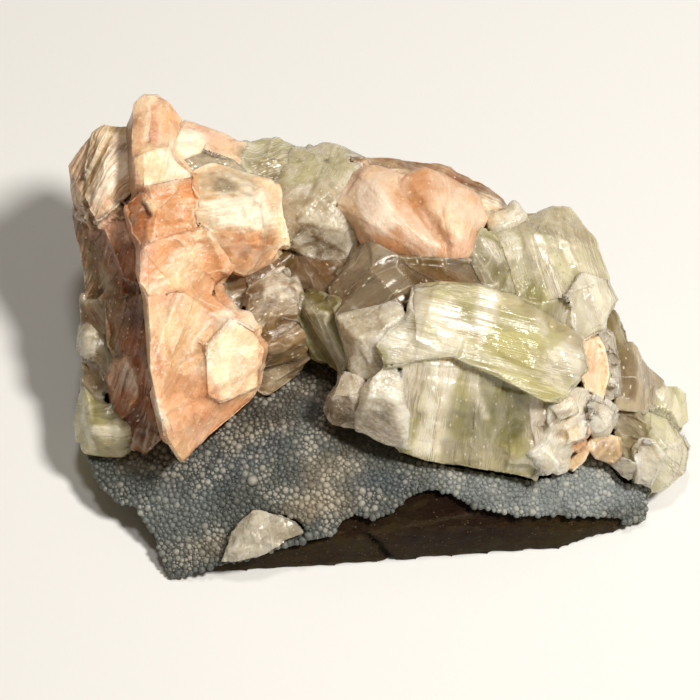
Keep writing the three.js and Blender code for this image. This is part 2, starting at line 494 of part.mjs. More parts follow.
// The olive crystals behind on the right, and the rounded cluster at the corner.
function rightEdge() {
  grow('apophyllite_edge_upper', mineral.apophylliteSmoky, [
    grain([[43.5, 50.5, -1], [46, 50.5, -3], [48.5, 47, -4], [49, 44, -4], [45, 42.5, 0],
      [43.5, 46, 1]]),
  ]);
  grow('apophyllite_edge_round', mineral.apophylliteSmoky, [
    grain([[44.5, 43, 0], [49, 44.5, -3], [51.5, 40.5, -4], [53, 36.5, -4], [53, 32, -2],
      [49, 31.5, 1], [45.5, 32.5, 2], [45.5, 38, 2.5], [49, 38, 1.5]]),
    grain([[51, 41, -6], [55.5, 37.5, -7], [54.5, 32, -5], [50.5, 36, -4]]),
  ]);
  grow('apophyllite_corner_small', mineral.apophylliteClear, [
    grain([[48.5, 24.5, 3], [50, 26.5, 4.5], [52.5, 26, 4.5], [54.5, 23.5, 3.5], [53.5, 20, 1.5],
      [52, 16.5, -1], [50, 17.5, 0], [49.5, 21, 3]], { taper: 0.7 }),
  ]);
  grow('apophyllite_corner_round', mineral.apophylliteGreen, [
    grain([[45.5, 28, 0], [46, 30.5, 0], [49, 32.5, 0], [52.5, 32.5, 0], [56, 31, -1], [58.5, 27, -2],
      [59.5, 23, -3], [57, 18, -3], [52.5, 16, -3], [48.5, 23, 1], [46.5, 24, -1], [52, 29, 3.5],
      [55.5, 25, 3]], { root: -11, taper: 0.8 }),
    grain([[56, 30, -4], [59.5, 27, -4], [61, 24.5, -5.5], [60, 19.5, -6], [56, 17, -5],
      [52.5, 14.5, -4], [54, 22, 0]], { root: -9, taper: 0.8 }),
  ], { angle: 60, count: 2, step: 0.7 });
  grow('apophyllite_corner_tip', mineral.apophylliteGreen, [
    grain([[52.5, 36, -4], [55.5, 36, -4], [57.5, 36, -6], [59.5, 34.5, -8], [60, 32, -8],
      [60, 29.5, -6], [58, 28, -4], [54, 29, -2.5], [52.5, 31.5, -2.5]], { root: -13, taper: 0.8 }),
  ]);
}

// The clear crystals lying on the crust.
function crustCrystals() {
  grow('apophyllite_front_clear', mineral.apophylliteClear, [
    grain([[-29.5, 3.2, 5], [-28, 9, 6.5], [-23.5, 13, 8.5], [-18, 12.5, 8.5], [-15, 11, 7.5],
      [-12.5, 8.5, 6.5], [-22, 5, 6.5], [-24, 10.5, 9.8]], { root: 2, taper: 0.9 }),
  ]);
  grow('apophyllite_front_small', mineral.apophylliteClear, [
    grain([[44.5, 21, 1], [46.5, 22.5, 2.5], [49, 21.5, 3], [49.3, 20, 3], [49, 17.5, 1],
      [47.5, 17.5, 1], [46, 19, 1]], { taper: 0.8 }),
  ]);
}

mainApophyllite();
cubes();
middleApophyllites();
stilbiteFin();
bowTie();
backApophyllite();
rightFoot();
creamBlock();
goldenSheaf();
topApophyllites();
backRidge();
leftFlank();
hollowCrystals();
rightEdge();
crustCrystals();

// ---- fitting: each piece is cut back to clear the rock and the pieces named before it ----

function fitCrystals(rockClearance) {
  const fitted = [];
  for (const crystal of crystals) {
    let body = crystal.body.subtract(rockClearance);
    for (const earlier of fitted) {
      for (const cutter of earlier.cutters) {
        if (touches(body, cutter)) body = body.subtract(cutter);
      }
    }
    fitted.push({ ...crystal, body: mainBody(body) });
  }
  return fitted;
}

function touches(a, b) {
  const [first, second] = [a.boundingBox(), b.boundingBox()];
  return [0, 1, 2].every((axis) => (
    first.min[axis] < second.max[axis] && second.min[axis] < first.max[axis]));
}

const rockClearance = grown(wedge, seam).intersect(bed);
const fitted = fitCrystals(rockClearance);
const sheet = fitted.flatMap(({ cutters }) => cutters).reduce(
  (left, cutter) => (touches(left, cutter) ? left.subtract(cutter) : left),
  crustSheet(),
);
const loweredBed = under((x, s) => bedHeight(x, s) - seam, bedCellsX, bedCellsS);
const rock = mainBody(chips.reduce(
  (left, chip) => left.subtract(chip),
  solidOf(new ConvexGeometry(wedge)).intersect(loweredBed),
));

function meshOf(name, material, solid) {
  const { vertProperties, triVerts } = solid.getMesh();
  const geometry = new THREE.BufferGeometry();
  geometry.setAttribute('position', new THREE.BufferAttribute(new Float32Array(vertProperties), 3));
  geometry.setIndex(new THREE.BufferAttribute(new Uint32Array(triVerts), 1));
  const mesh = new THREE.Mesh(geometry, material);
  mesh.name = name;
  return mesh;
}

const specimen = new THREE.Group();
specimen.add(meshOf('basalt_matrix', mineral.basalt, rock));
specimen.add(meshOf('chalcedony_crust', mineral.chalcedony, mainBody(sheet)));
for (const { name, material, body } of fitted) specimen.add(meshOf(name, material, body));

const bounds = new THREE.Box3().setFromObject(specimen);
const centre = bounds.getCenter(new THREE.Vector3());
specimen.position.set(-centre.x, -centre.y, -bounds.min.z);

export default specimen;
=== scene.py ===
# Apophyllite cluster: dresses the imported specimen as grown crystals, a crust of small balls and broken rock.
import json
import math
import random

import bmesh
import bpy
import numpy as np
from mathutils import Matrix, Vector, noise
from mathutils.bvhtree import BVHTree


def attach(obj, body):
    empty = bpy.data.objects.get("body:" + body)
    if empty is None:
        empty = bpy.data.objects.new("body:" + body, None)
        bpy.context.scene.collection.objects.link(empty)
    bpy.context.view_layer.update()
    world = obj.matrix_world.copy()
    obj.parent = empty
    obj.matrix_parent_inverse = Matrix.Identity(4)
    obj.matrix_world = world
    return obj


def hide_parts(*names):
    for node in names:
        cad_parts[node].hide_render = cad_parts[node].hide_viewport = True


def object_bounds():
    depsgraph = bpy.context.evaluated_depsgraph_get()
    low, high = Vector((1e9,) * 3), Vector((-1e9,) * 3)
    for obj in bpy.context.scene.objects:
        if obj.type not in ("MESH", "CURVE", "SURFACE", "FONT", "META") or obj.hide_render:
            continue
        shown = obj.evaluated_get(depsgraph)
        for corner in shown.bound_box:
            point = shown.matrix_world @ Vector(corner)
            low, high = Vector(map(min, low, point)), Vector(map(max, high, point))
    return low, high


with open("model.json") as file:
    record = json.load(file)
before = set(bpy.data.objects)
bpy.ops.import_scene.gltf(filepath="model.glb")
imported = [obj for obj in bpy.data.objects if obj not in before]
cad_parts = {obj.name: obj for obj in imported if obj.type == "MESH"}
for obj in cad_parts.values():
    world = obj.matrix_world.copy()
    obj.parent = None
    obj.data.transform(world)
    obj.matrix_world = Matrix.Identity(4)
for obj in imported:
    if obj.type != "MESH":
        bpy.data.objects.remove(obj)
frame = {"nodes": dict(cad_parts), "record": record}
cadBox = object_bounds()
mm = 0.001

# The minerals grew on a slope: x to the right, s up it and d out of it, in mm from its front edge.
slope = {"tilt": 35, "originX": -0.75, "originY": -40.11}
tilt = math.radians(slope["tilt"])
slopeX = np.array((1.0, 0.0, 0.0))
slopeUp = np.array((0.0, math.cos(tilt), math.sin(tilt)))
slopeOut = np.array((0.0, -math.sin(tilt), math.cos(tilt)))
slopeOrigin = np.array((slope["originX"], slope["originY"], 0.0))
slopeAxes = np.stack((slopeX, slopeUp, slopeOut))


def onSlope(x, s, d):
    return Vector((slopeOrigin + x * slopeX + s * slopeUp + d * slopeOut) * mm)


def toSlope(points):  # points in metres, as rows of x, s, d in mm
    return (points / mm - slopeOrigin) @ slopeAxes.T


# Mineral colours as they look in daylight, 0 to 255.
palette = {
    "peach": (216, 159, 112), "orange": (226, 157, 102), "amber": (196, 138, 88), "rust": (180, 108, 66),
    "pink": (232, 182, 152), "blush": (240, 212, 182), "cream": (246, 214, 170), "ivory": (254, 243, 220),
    "golden": (218, 184, 134), "silk": (240, 220, 198), "redBrown": (112, 58, 30), "brown": (142, 102, 62),
    "green": (202, 194, 136), "deepGreen": (138, 131, 68), "paleGreen": (222, 216, 174), "olive": (134, 123, 64),
    "dusk": (152, 130, 98), "smoke": (122, 97, 58), "grey": (198, 182, 152), "milk": (244, 236, 216),
    "lilac": (216, 200, 180), "clear": (226, 216, 196), "blueGrey": (82, 86, 82), "beige": (146, 132, 108),
    # The dark rock red is partly painted shade, for the recess under the crust's lip, and the near-black cleft colour
    # is painted shade in a crack; umber also serves as painted shade.
    "umber": (72, 62, 46), "rock": (50, 36, 13), "rockRedInShade": (34, 17, 6), "rockOlive": (60, 49, 25),
    "blueDeep": (64, 74, 80), "paleBlue": (136, 143, 142), "cavity": (130, 94, 58), "cleft": (10, 6, 3),
    "crystalTint": (170, 158, 104), "stoneTint": (226, 170, 118),
}


def colourOf(name):
    share = np.array(palette[name]) / 255
    return np.where(share <= 0.04045, share / 12.92, ((share + 0.055) / 1.055) ** 2.4)


def softNoise(points, wavelength, octaves=1):  # -1 to 1 for each row of points in mm
    total = np.zeros(len(points))
    for octave in range(octaves):
        scaled = points * (2 ** octave / wavelength) + 17.3 * octave
        total += np.array([noise.noise(p) for p in scaled.tolist()]) / 2 ** octave
    return total


def smoothStep(values, low, high):
    t = np.clip((values - low) / (high - low), 0, 1)
    return t * t * (3 - 2 * t)


stainEdge = {"size": 4.5, "ragged": 0.35, "core": 0.45, "end": 1.25}


# Soft-edged stains: each one is a palette name, its middle x and s, its two radii in mm, its strength and its turn.
def stained(placed, base, stains, seed):
    colour = np.tile(colourOf(base), (len(placed), 1))
    ragged = softNoise(placed + seed, stainEdge["size"], 3) * stainEdge["ragged"] if stains else 0
    for name, x, s, wide, high, strength, *turn in stains:
        angle = math.radians(turn[0] if turn else 0)
        right, up = placed[:, 0] - x, placed[:, 1] - s
        a = (right * math.cos(angle) + up * math.sin(angle)) / wide
        b = (up * math.cos(angle) - right * math.sin(angle)) / high
        share = strength * (1 - smoothStep(np.hypot(a, b) + ragged, stainEdge["core"], stainEdge["end"]))
        colour += (colourOf(name) - colour) * share[:, None]
    return colour


def depthInside(points, corners):  # mm inside a polygon's outline, below 0 outside it
    a = np.array(corners, float).reshape(-1, 2)
    nearest = np.full(len(points), np.inf)
    inside = np.zeros(len(points), bool)
    for p, q in zip(a, np.roll(a, -1, axis=0)):
        side = q - p
        t = np.clip((points - p) @ side / (side @ side), 0, 1)
        nearest = np.minimum(nearest, np.linalg.norm(points - p - t[:, None] * side, axis=1))
        level = (p[1] > points[:, 1]) != (q[1] > points[:, 1])
        inside ^= level & (points[:, 0] < (points[:, 1] - p[1]) / (side[1] or 1e-9) * side[0] + p[0])
    return np.where(inside, nearest, -nearest)


markEdge = {"size": 2.4, "ragged": 0.35, "patchSize": 1.5, "thin": 0.85, "patchy": 0.3}


# Lays markings over a colour; gives back how far each point stands out and how its face leans.
def marked(placed, colour, patches, seed, soft=0.35):
    wander = [softNoise(placed + side * seed, markEdge["size"], 3) for side in (1, -1)]
    wander = np.stack(wander, 1) * markEdge["ragged"]
    uneven = markEdge["thin"] + markEdge["patchy"] * softNoise(placed + 2 * seed, markEdge["patchSize"], 2)
    relief, lean = np.zeros(len(placed)), np.zeros((len(placed), 2))
    for name, strength, height, tilted, corners in patches:
        inside = smoothStep(depthInside(placed[:, :2] + wander, corners), -soft, soft)
        share = np.clip(strength * inside * uneven, 0, 1)
        colour += (colourOf(name) - colour) * share[:, None]
        relief += height * inside
        lean += np.array(tilted) * inside[:, None]
    return relief, lean @ slopeAxes[:2]


# Ledges along a line: strips of uneven width, each at its own depth between 0 and 1.
def ledges(along, narrow, wide, seed):
    pick = random.Random(seed)
    edges, depths = [along.min() - wide], [pick.random()]
    while edges[-1] < along.max() + wide:
        edges.append(edges[-1] + pick.uniform(narrow, wide))
        depths.append(pick.random())
    return np.array(depths)[np.searchsorted(edges, along)]


slantSetup = {"off": 0.12, "falls": (0.3, 1.0), "slopes": (0.1, 0.5), "level": 0.35}


# Slanting planes that run right across a piece: each falls away by its drop and then runs level again.
def slants(placed, count, drop, seed, axes=None):
    pick = random.Random(seed)
    low, high = placed.min(0), placed.max(0)
    relief = np.zeros(len(placed))
    for i in range(count):
        facing = np.array([pick.gauss(0, 1) for axis in range(3)])
        if axes is not None and i % 3:
            facing = axes[pick.randrange(len(axes))] * pick.choice((-1, 1)) + facing * slantSetup["off"]
        facing /= np.linalg.norm(facing)
        start = np.array([pick.uniform(a, b) for a, b in zip(low, high)])
        fall = pick.uniform(*slantSetup["falls"]) * drop
        steep = pick.uniform(*slantSetup["slopes"])
        relief -= np.clip((placed - start) @ facing * steep, 0, fall) - fall * slantSetup["level"]
    return relief


chipSetup = {"edge": 0.45, "lean": 0.4, "depths": (0.2, 1.0), "rim": 0.88, "shallower": 0.55, "trials": 4}


# Chips broken off the edges: each is a plane of its own, and what stands outside it is pressed back onto it.
def chipped(points, normals, edge, count, depth, reach, seed):
    pick = random.Random(seed)
    moved = points.copy()
    sites = np.flatnonzero(edge > chipSetup["edge"])
    for i in range(count if len(sites) else 0):
        site = sites[pick.randrange(len(sites))]
        facing = normals[site] + np.array([pick.gauss(0, chipSetup["lean"]) for axis in range(3)])
        facing /= np.linalg.norm(facing)
        cut = pick.uniform(*chipSetup["depths"]) * depth * mm
        near = np.linalg.norm(points - points[site], axis=1)
        for trial in range(chipSetup["trials"]):
            beyond = (moved - points[site]) @ facing + cut
            pressed = (beyond > 0) & (near < reach * mm)
            if pressed.any() and near[pressed].max() < chipSetup["rim"] * reach * mm:
                moved[pressed] -= facing * beyond[pressed, None]
                break
            cut *= chipSetup["shallower"]
    return moved


def newPiece(name, data):
    piece = bpy.data.objects.new(name, data)
    bpy.context.scene.collection.objects.link(piece)
    return piece


def remeshed(piece, cell):
    remesh = piece.modifiers.new("grain", "REMESH")
    remesh.mode = "VOXEL"
    remesh.voxel_size = cell * mm
    remesh.use_smooth_shade = True
    fine = bpy.data.meshes.new_from_object(piece.evaluated_get(bpy.context.evaluated_depsgraph_get()))
    piece.modifiers.clear()
    piece.data = fine
    return fine


# A fine, even mesh of some nodes' solids, as a new piece: it spans the gaps that are up to twice the closing, in mm.
def fineCopy(name, nodes, cell, closing=0.0, blur=0.0):
    joined = bmesh.new()
    for node in nodes:
        coarse = bmesh.new()
        coarse.from_mesh(frame["nodes"][node].data)
        bmesh.ops.remove_doubles(coarse, verts=coarse.verts, dist=1e-6)
        mesh = bpy.data.meshes.new(node + "_coarse")
        coarse.to_mesh(mesh)
        coarse.free()
        if closing or blur:
            piece = newPiece(node + "_coarse", mesh)
            mesh = remeshed(piece, blur or cell * 1.6)
            if blur:
                soften(mesh, 5)
            swollen = pointsOf(mesh) + normalsOf(mesh) * closing * mm
            mesh.vertices.foreach_set("co", swollen.astype(np.float32).ravel())
            bpy.data.objects.remove(piece)
        joined.from_mesh(mesh)
    mesh = bpy.data.meshes.new(name)
    joined.to_mesh(mesh)
    joined.free()
    piece = newPiece(name, mesh)
    mesh = remeshed(piece, cell)
    mesh.name = name
    if closing:  # back onto the solids, but only part of the way in the grooves between them
        solids = faceTree(nodes)
        swollen = pointsOf(mesh)
        back = swollen - blurred(mesh, normalsOf(mesh), 3) * closing * mm
        onSolid = np.array([solids.find_nearest(p)[0][:] for p in swollen.tolist()])
        nearest = [(Vector(p), *solids.find_nearest(p)[:2]) for p in back.tolist()]
        over = np.array([(p - at).dot(normal) for p, at, normal in nearest]) / mm
        share = blurred(mesh, smoothStep(over, 0.12, 0.3)[:, None], 1)
        movePoints(mesh, onSolid + (back - onSolid) * share)
        soften(mesh, 3)
    return piece


def rowsOf(data, field):
    flat = np.empty(len(data) * 3, np.float32)
    data.foreach_get(field, flat)
    return flat.reshape(-1, 3).astype(float)


def pointsOf(mesh):
    return rowsOf(mesh.vertices, "co")


def normalsOf(mesh):
    return rowsOf(mesh.vertex_normals, "vector")


def movePoints(mesh, points):  # no further than the solids' own box
    low, high = (np.array(corner) for corner in cadBox)
    inside = np.clip(points, low, high)
    mesh.vertices.foreach_set("co", inside.astype(np.float32).ravel())
    mesh.update()
    return inside


def neighbours(mesh):  # both ends of every edge, and how many edges meet at each point
    ends = np.empty(len(mesh.edges) * 2, np.int32)
    mesh.edges.foreach_get("vertices", ends)
    a, b = ends.reshape(-1, 2).T
    return a, b, np.bincount(ends, minlength=len(mesh.vertices))[:, None]


def blurred(mesh, values, rounds):  # each point's values averaged with those of its neighbours
    a, b, count = neighbours(mesh)
    total = len(values)
    for i in range(rounds):
        around = np.stack([np.bincount(a, values[b, axis], total) + np.bincount(b, values[a, axis], total)
                           for axis in range(values.shape[1])], 1)
        values = (values + around / count) / 2
    return values


def soften(mesh, rounds):  # rounds the edges off
    movePoints(mesh, blurred(mesh, pointsOf(mesh), rounds))


# How convex the surface is at each point, per mm: above 0 on edges, below 0 in clefts.
def edgeMeasure(mesh, points):
    normals = normalsOf(mesh)
    a, b, count = neighbours(mesh)
    total = len(points)
    step = points[a] - points[b]
    bend = ((normals[a] - normals[b]) * step).sum(1) / np.maximum((step ** 2).sum(1), 1e-12) * mm
    value = (np.bincount(a, bend, total) + np.bincount(b, bend, total))[:, None] / count
    return blurred(mesh, value, 2)[:, 0]


def keep(mesh, name, values):
    kind, field = ("FLOAT_VECTOR", "vector") if values.ndim == 2 else ("FLOAT", "value")
    mesh.attributes.new(name, kind, "POINT").data.foreach_set(field, values.astype(np.float32).ravel())


def dress(piece, material, slot, *nodes):
    piece.data.materials.clear()
    piece.data.materials.append(material)
    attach(piece, "root")
    if nodes:
        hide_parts(*nodes)


def plug(tree, node, inputs):  # a node's inputs, as values or links
    for key, value in inputs.items():
        if isinstance(value, bpy.types.NodeSocket):
            tree.links.new(value, node.inputs[key])
        else:
            node.inputs[key].default_value = value


def add(tree, kind, inputs=None, **settings):
    node = tree.nodes.new("ShaderNode" + kind)
    for name, value in settings.items():
        setattr(node, name, value)
    plug(tree, node, inputs or {})
    return node


def calc(tree, operation, a, b=0.0, clamp=False):
    return add(tree, "Math", {0: a, 1: b}, operation=operation, use_clamp=clamp).outputs[0]


def times(tree, a, b):
    return calc(tree, "MULTIPLY", a, b)


def vector(tree, operation, a, b):
    return add(tree, "VectorMath", {0: a, 1: b}, operation=operation).outputs[0]


def scaled(tree, a, share):
    return add(tree, "VectorMath", {0: a, "Scale": share}, operation="SCALE").outputs[0]


def ramp(tree, value, low, high, start=0.0, end=1.0):
    return add(tree, "MapRange", {"Value": value, "From Min": low, "From Max": high, "To Min": start,
                                  "To Max": end}, interpolation_type="SMOOTHSTEP").outputs[0]


def blend(tree, share, a, b, kind="MIX"):
    return add(tree, "Mix", {0: share, 6: a, 7: b}, data_type="RGBA", blend_type=kind).outputs[2]


def noisy(tree, place, scale, detail, roughness=0.5, distortion=0.0):
    return add(tree, "TexNoise", {"Vector": place, "Scale": scale, "Detail": detail, "Roughness": roughness,
                                  "Distortion": distortion}).outputs


def cells(tree, place, scale, feature="F1", distance="EUCLIDEAN"):
    return add(tree, "TexVoronoi", {"Vector": place, "Scale": scale}, feature=feature, distance=distance).outputs


def bumped(tree, height):  # the normal of a surface with this height in mm
    return add(tree, "Bump", {"Height": height, "Distance": mm, "Strength": 1.0}).outputs[0]


def kept(tree, name, output="Vector"):  # what the mesh keeps at each point
    return add(tree, "Attribute", attribute_name=name).outputs[output]


# A node group: its inputs as name, kind and first value, and its outputs as name and kind.
def newGroup(name, inputs, outputs):
    tree = bpy.data.node_groups.new(name, "ShaderNodeTree")
    for label, kind, value in inputs:
        socket = tree.interface.new_socket(label, in_out="INPUT", socket_type="NodeSocket" + kind)
        if value is not None:
            socket.default_value = value
    for label, kind in outputs:
        tree.interface.new_socket(label, in_out="OUTPUT", socket_type="NodeSocket" + kind)
    return tree, tree.nodes.new("NodeGroupInput").outputs, tree.nodes.new("NodeGroupOutput")


def drawnOut(tree, size, stretch):  # cells to a mm across the grain and along it
    fine = calc(tree, "DIVIDE", 1.0, size)
    return fine, calc(tree, "DIVIDE", fine, stretch)


# Growth lines along the grain: fine ones, and the wider bands that they gather in.
def growthLines():
    tree, into, out = newGroup("growth lines", [("Grain", "Vector", None), ("Spacing", "Float", 0.5),
                                                ("Stretch", "Float", 30.0)],
                               [("Lines", "Float"), ("Bands", "Float")])
    fine, slow = drawnOut(tree, into["Spacing"], into["Stretch"])
    scale = add(tree, "CombineXYZ", {0: slow, 1: fine, 2: times(tree, fine, 0.16)}).outputs[0]
    lines = noisy(tree, vector(tree, "MULTIPLY", into["Grain"], scale), 1.0, 1.0)[0]
    bands = noisy(tree, vector(tree, "MULTIPLY", into["Grain"], (0.06, 0.2, 0.12)), 1.0, 3.0, 0.6)[0]
    plug(tree, out, {"Lines": ramp(tree, lines, 0.4, 0.62), "Bands": ramp(tree, bands, 0.48, 0.62)})
    return tree


# Milky clouds and thin healed cracks inside a crystal, and single bright flecks that are painted glints.
def innerVeils():
    tree, into, out = newGroup("inner veils", [("Place", "Vector", None), ("Size", "Float", 6.0)],
                               [("Cloud", "Float"), ("Deep", "Float"), ("Crack", "Float"), ("PaintedGlint", "Float")])
    place = into["Place"]
    scale = calc(tree, "DIVIDE", 1.0, into["Size"])
    cloud = noisy(tree, place, scale, 5.0, 0.62, 0.6)
    bent = vector(tree, "ADD", place, scaled(tree, cloud["Color"], 2.6))
    edge = cells(tree, bent, scale, "DISTANCE_TO_EDGE")[0]
    paintedGlint = cells(tree, place, 1.7)
    chance = add(tree, "SeparateXYZ", {0: paintedGlint["Color"]}).outputs[0]
    near = ramp(tree, paintedGlint["Distance"], 0.34, 0.16)
    aside = vector(tree, "ADD", place, (31.0, 7.0, 19.0))
    deep = noisy(tree, aside, times(tree, scale, 1.4), 5.0, 0.65, 0.8)[0]
    plug(tree, out, {
        "Cloud": ramp(tree, cloud[0], 0.42, 0.64), "Deep": ramp(tree, deep, 0.45, 0.66),
        "Crack": times(tree, ramp(tree, edge, 0.03, 0.0), ramp(tree, cloud[0], 0.52, 0.6)),
        "PaintedGlint": times(tree, near, calc(tree, "GREATER_THAN", chance, 0.86))})
    return tree


# Small broken facets, drawn out along the grain: each leans its own way, for glints.
def tinyFacets():
    tree, into, out = newGroup("tiny facets", [("Grain", "Vector", None), ("Size", "Float", 1.0),
                                               ("Stretch", "Float", 2.0), ("Lean", "Float", 0.2),
                                               ("Normal", "Vector", None), ("Turn", "Vector", None)],
                               [("Normal", "Vector"), ("Shade", "Float")])
    fine, slow = drawnOut(tree, into["Size"], into["Stretch"])
    scale = add(tree, "CombineXYZ", {0: slow, 1: fine, 2: fine}).outputs[0]
    place = vector(tree, "MULTIPLY", into["Grain"], scale)
    large = cells(tree, place, 1.0, distance="CHEBYCHEV")["Color"]
    small = cells(tree, place, 4.3)["Color"]
    both = vector(tree, "ADD", large, scaled(tree, small, 1.7))
    lean = scaled(tree, vector(tree, "SUBTRACT", both, (1.35, 1.35, 1.35)), into["Lean"])
    leaned = vector(tree, "ADD", into["Normal"], vector(tree, "ADD", lean, into["Turn"]))
    plug(tree, out, {"Normal": add(tree, "VectorMath", {0: leaned}, operation="NORMALIZE").outputs[0],
                     "Shade": add(tree, "SeparateXYZ", {0: large}).outputs[1]})
    return tree


# Where edges are chipped pale, partly as painted highlight, and where clefts get painted shade.
def edgeWearAndShade():
    tree, into, out = newGroup("edge wear and shade", [("Edge", "Float", 0.0), ("Place", "Vector", None)],
                               [("Ridge", "Float"), ("CleftShade", "Float")])
    patchy = ramp(tree, noisy(tree, into["Place"], 0.7, 3.0)[0], 0.3, 0.65)
    plug(tree, out, {"Ridge": times(tree, ramp(tree, into["Edge"], 0.12, 0.8), patchy),
                     "CleftShade": ramp(tree, into["Edge"], -0.05, -0.6)})
    return tree


groups = {"lines": growthLines(), "veils": innerVeils(), "facets": tinyFacets(), "wear": edgeWearAndShade()}


def useGroup(tree, name, inputs):
    node = tree.nodes.new("ShaderNodeGroup")
    node.node_tree = groups[name]
    plug(tree, node, inputs)
    return node.outputs


def newMaterial(name):
    material = bpy.data.materials.new(name)
    material.use_nodes = True
    tree = material.node_tree
    place = scaled(tree, add(tree, "TexCoord").outputs["Object"], 1 / mm)
    return material, tree, tree.nodes["Principled BSDF"], kept(tree, "bodyColour"), place


def rgba(name):
    return (*colourOf(name), 1)


# A mineral with growth lines, veils, broken facets and worn edges, with painted glints, painted highlight on its edges
# and painted shade in its clefts; glassy ones also let light through.
def mineral(name, look):
    material, tree, shader, colour, place = newMaterial(name)
    grain = kept(tree, "grain")
    lines = useGroup(tree, "lines", {"Grain": grain, "Spacing": look["spacing"], "Stretch": look["stretch"]})
    drawn = vector(tree, "MULTIPLY", grain, (look["veilStretch"], 1.0, 0.7))
    veils = useGroup(tree, "veils", {"Place": drawn, "Size": look["veilSize"]})
    wear = useGroup(tree, "wear", {"Edge": kept(tree, "edge", "Fac"), "Place": place})
    milky = ramp(tree, add(tree, "RGBToBW", {0: colour}).outputs[0], 0.22, 0.7, look["window"], 1)
    streak = times(tree, lines["Lines"], ramp(tree, lines["Bands"], 0, 1, look["evenLines"], 1))
    streak = times(tree, streak, milky)
    grainy = noisy(tree, place, 1.6, 4.0, 0.6)[0]
    height = calc(tree, "ADD", times(tree, streak, look["lineRelief"]), times(tree, grainy, look["grainRelief"]))
    facets = useGroup(tree, "facets", {"Grain": grain, "Size": look["facetSize"], "Stretch": look["facetStretch"],
                                       "Lean": look["glint"], "Normal": bumped(tree, height),
                                       "Turn": kept(tree, "lean")})
    shade = ramp(tree, facets["Shade"], 0, 1, 1 - look["patchwork"], 1 + look["patchwork"])
    gaps = times(tree, calc(tree, "SUBTRACT", 1.0, lines["Lines"]), lines["Bands"])  # between the lines
    gaps = times(tree, gaps, milky)
    dark = calc(tree, "ADD", times(tree, veils["Deep"], look["deep"]), times(tree, gaps, look["darkLines"]), clamp=True)
    tone = blend(tree, dark, scaled(tree, colour, shade), rgba(look["tint"]), "MULTIPLY")
    for mask, amount, laid in ((veils["Cloud"], "cloud", look["cloudColour"]),
                               (streak, "streak", look["streakColour"]),
                               (veils["Crack"], "crack", look["streakColour"]),
                               # painted glints: single bright flecks laid on in ivory
                               (veils["PaintedGlint"], "paintedGlint", "ivory"),
                               # painted shade: concave clefts darkened with the cleft colour
                               (wear["CleftShade"], "cleftShade", look["cleftShadeColour"]),
                               # pale edges: partly chipped pale, partly painted highlight along the edges
                               (wear["Ridge"], "paleSheen", look["paleSheenColour"])):
        tone = blend(tree, times(tree, mask, look[amount]), tone, rgba(laid))
    plug(tree, shader, {
        "Base Color": tone, "Normal": facets["Normal"], "IOR": look["ior"],
        "Roughness": ramp(tree, calc(tree, "ADD", streak, veils["Cloud"]), 0.1, 1.5, *look["roughness"]),
        "Transmission Weight": look.get("transmission", 0), "Subsurface Weight": look["subsurface"],
        "Subsurface Radius": look["bleed"], "Subsurface Scale": look["bleedScale"] * mm,
        "Coat Weight": look.get("coat", 0), "Coat Roughness": look.get("coatRoughness", 0.3)})
    if look.get("density"):
        inside = add(tree, "VolumeAbsorption", {"Color": look["absorbed"], "Density": look["density"]})
        tree.links.new(inside.outputs[0], tree.nodes["Material Output"].inputs["Volume"])
    return material


glassy = {
    "spacing": 0.34, "stretch": 90, "window": 0.15, "evenLines": 0.2, "veilSize": 6, "veilStretch": 0.35,
    "facetSize": 2.6, "facetStretch": 2.2, "patchwork": 0.12, "deep": 0.35, "darkLines": 0.3, "tint": "crystalTint",
    "cloud": 0.35, "cloudColour": "milk", "streak": 0.42, "streakColour": "ivory", "crack": 0.4, "paintedGlint": 0.8,
    "cleftShade": 0.1, "cleftShadeColour": "brown", "paleSheen": 0.35, "paleSheenColour": "milk", "roughness": (0.14, 0.36),
    "lineRelief": 0.15, "glint": 0.05, "grainRelief": 0.07, "ior": 1.535, "transmission": 0.22, "subsurface": 0.5,
    "bleed": (1.0, 0.95, 0.6), "bleedScale": 4, "absorbed": (0.8, 0.76, 0.52, 1), "density": 20,
}
pearly = {
    "spacing": 0.6, "stretch": 24, "window": 0.4, "evenLines": 0.3, "veilSize": 3.6, "veilStretch": 0.7,
    "facetSize": 2.2, "facetStretch": 1.8, "patchwork": 0.13, "deep": 0.45, "darkLines": 0.2, "tint": "stoneTint",
    "cloud": 0.3, "cloudColour": "cream", "streak": 0.25, "streakColour": "ivory", "crack": 0.2, "paintedGlint": 0.6,
    "cleftShade": 0.12, "cleftShadeColour": "rust", "paleSheen": 0.3, "paleSheenColour": "ivory", "roughness": (0.28, 0.55),
    "lineRelief": 0.04, "glint": 0.12, "grainRelief": 0.2, "ior": 1.5, "subsurface": 0.4,
    "bleed": (1.0, 0.68, 0.45), "bleedScale": 2.5, "coat": 0.25, "coatRoughness": 0.3,
}
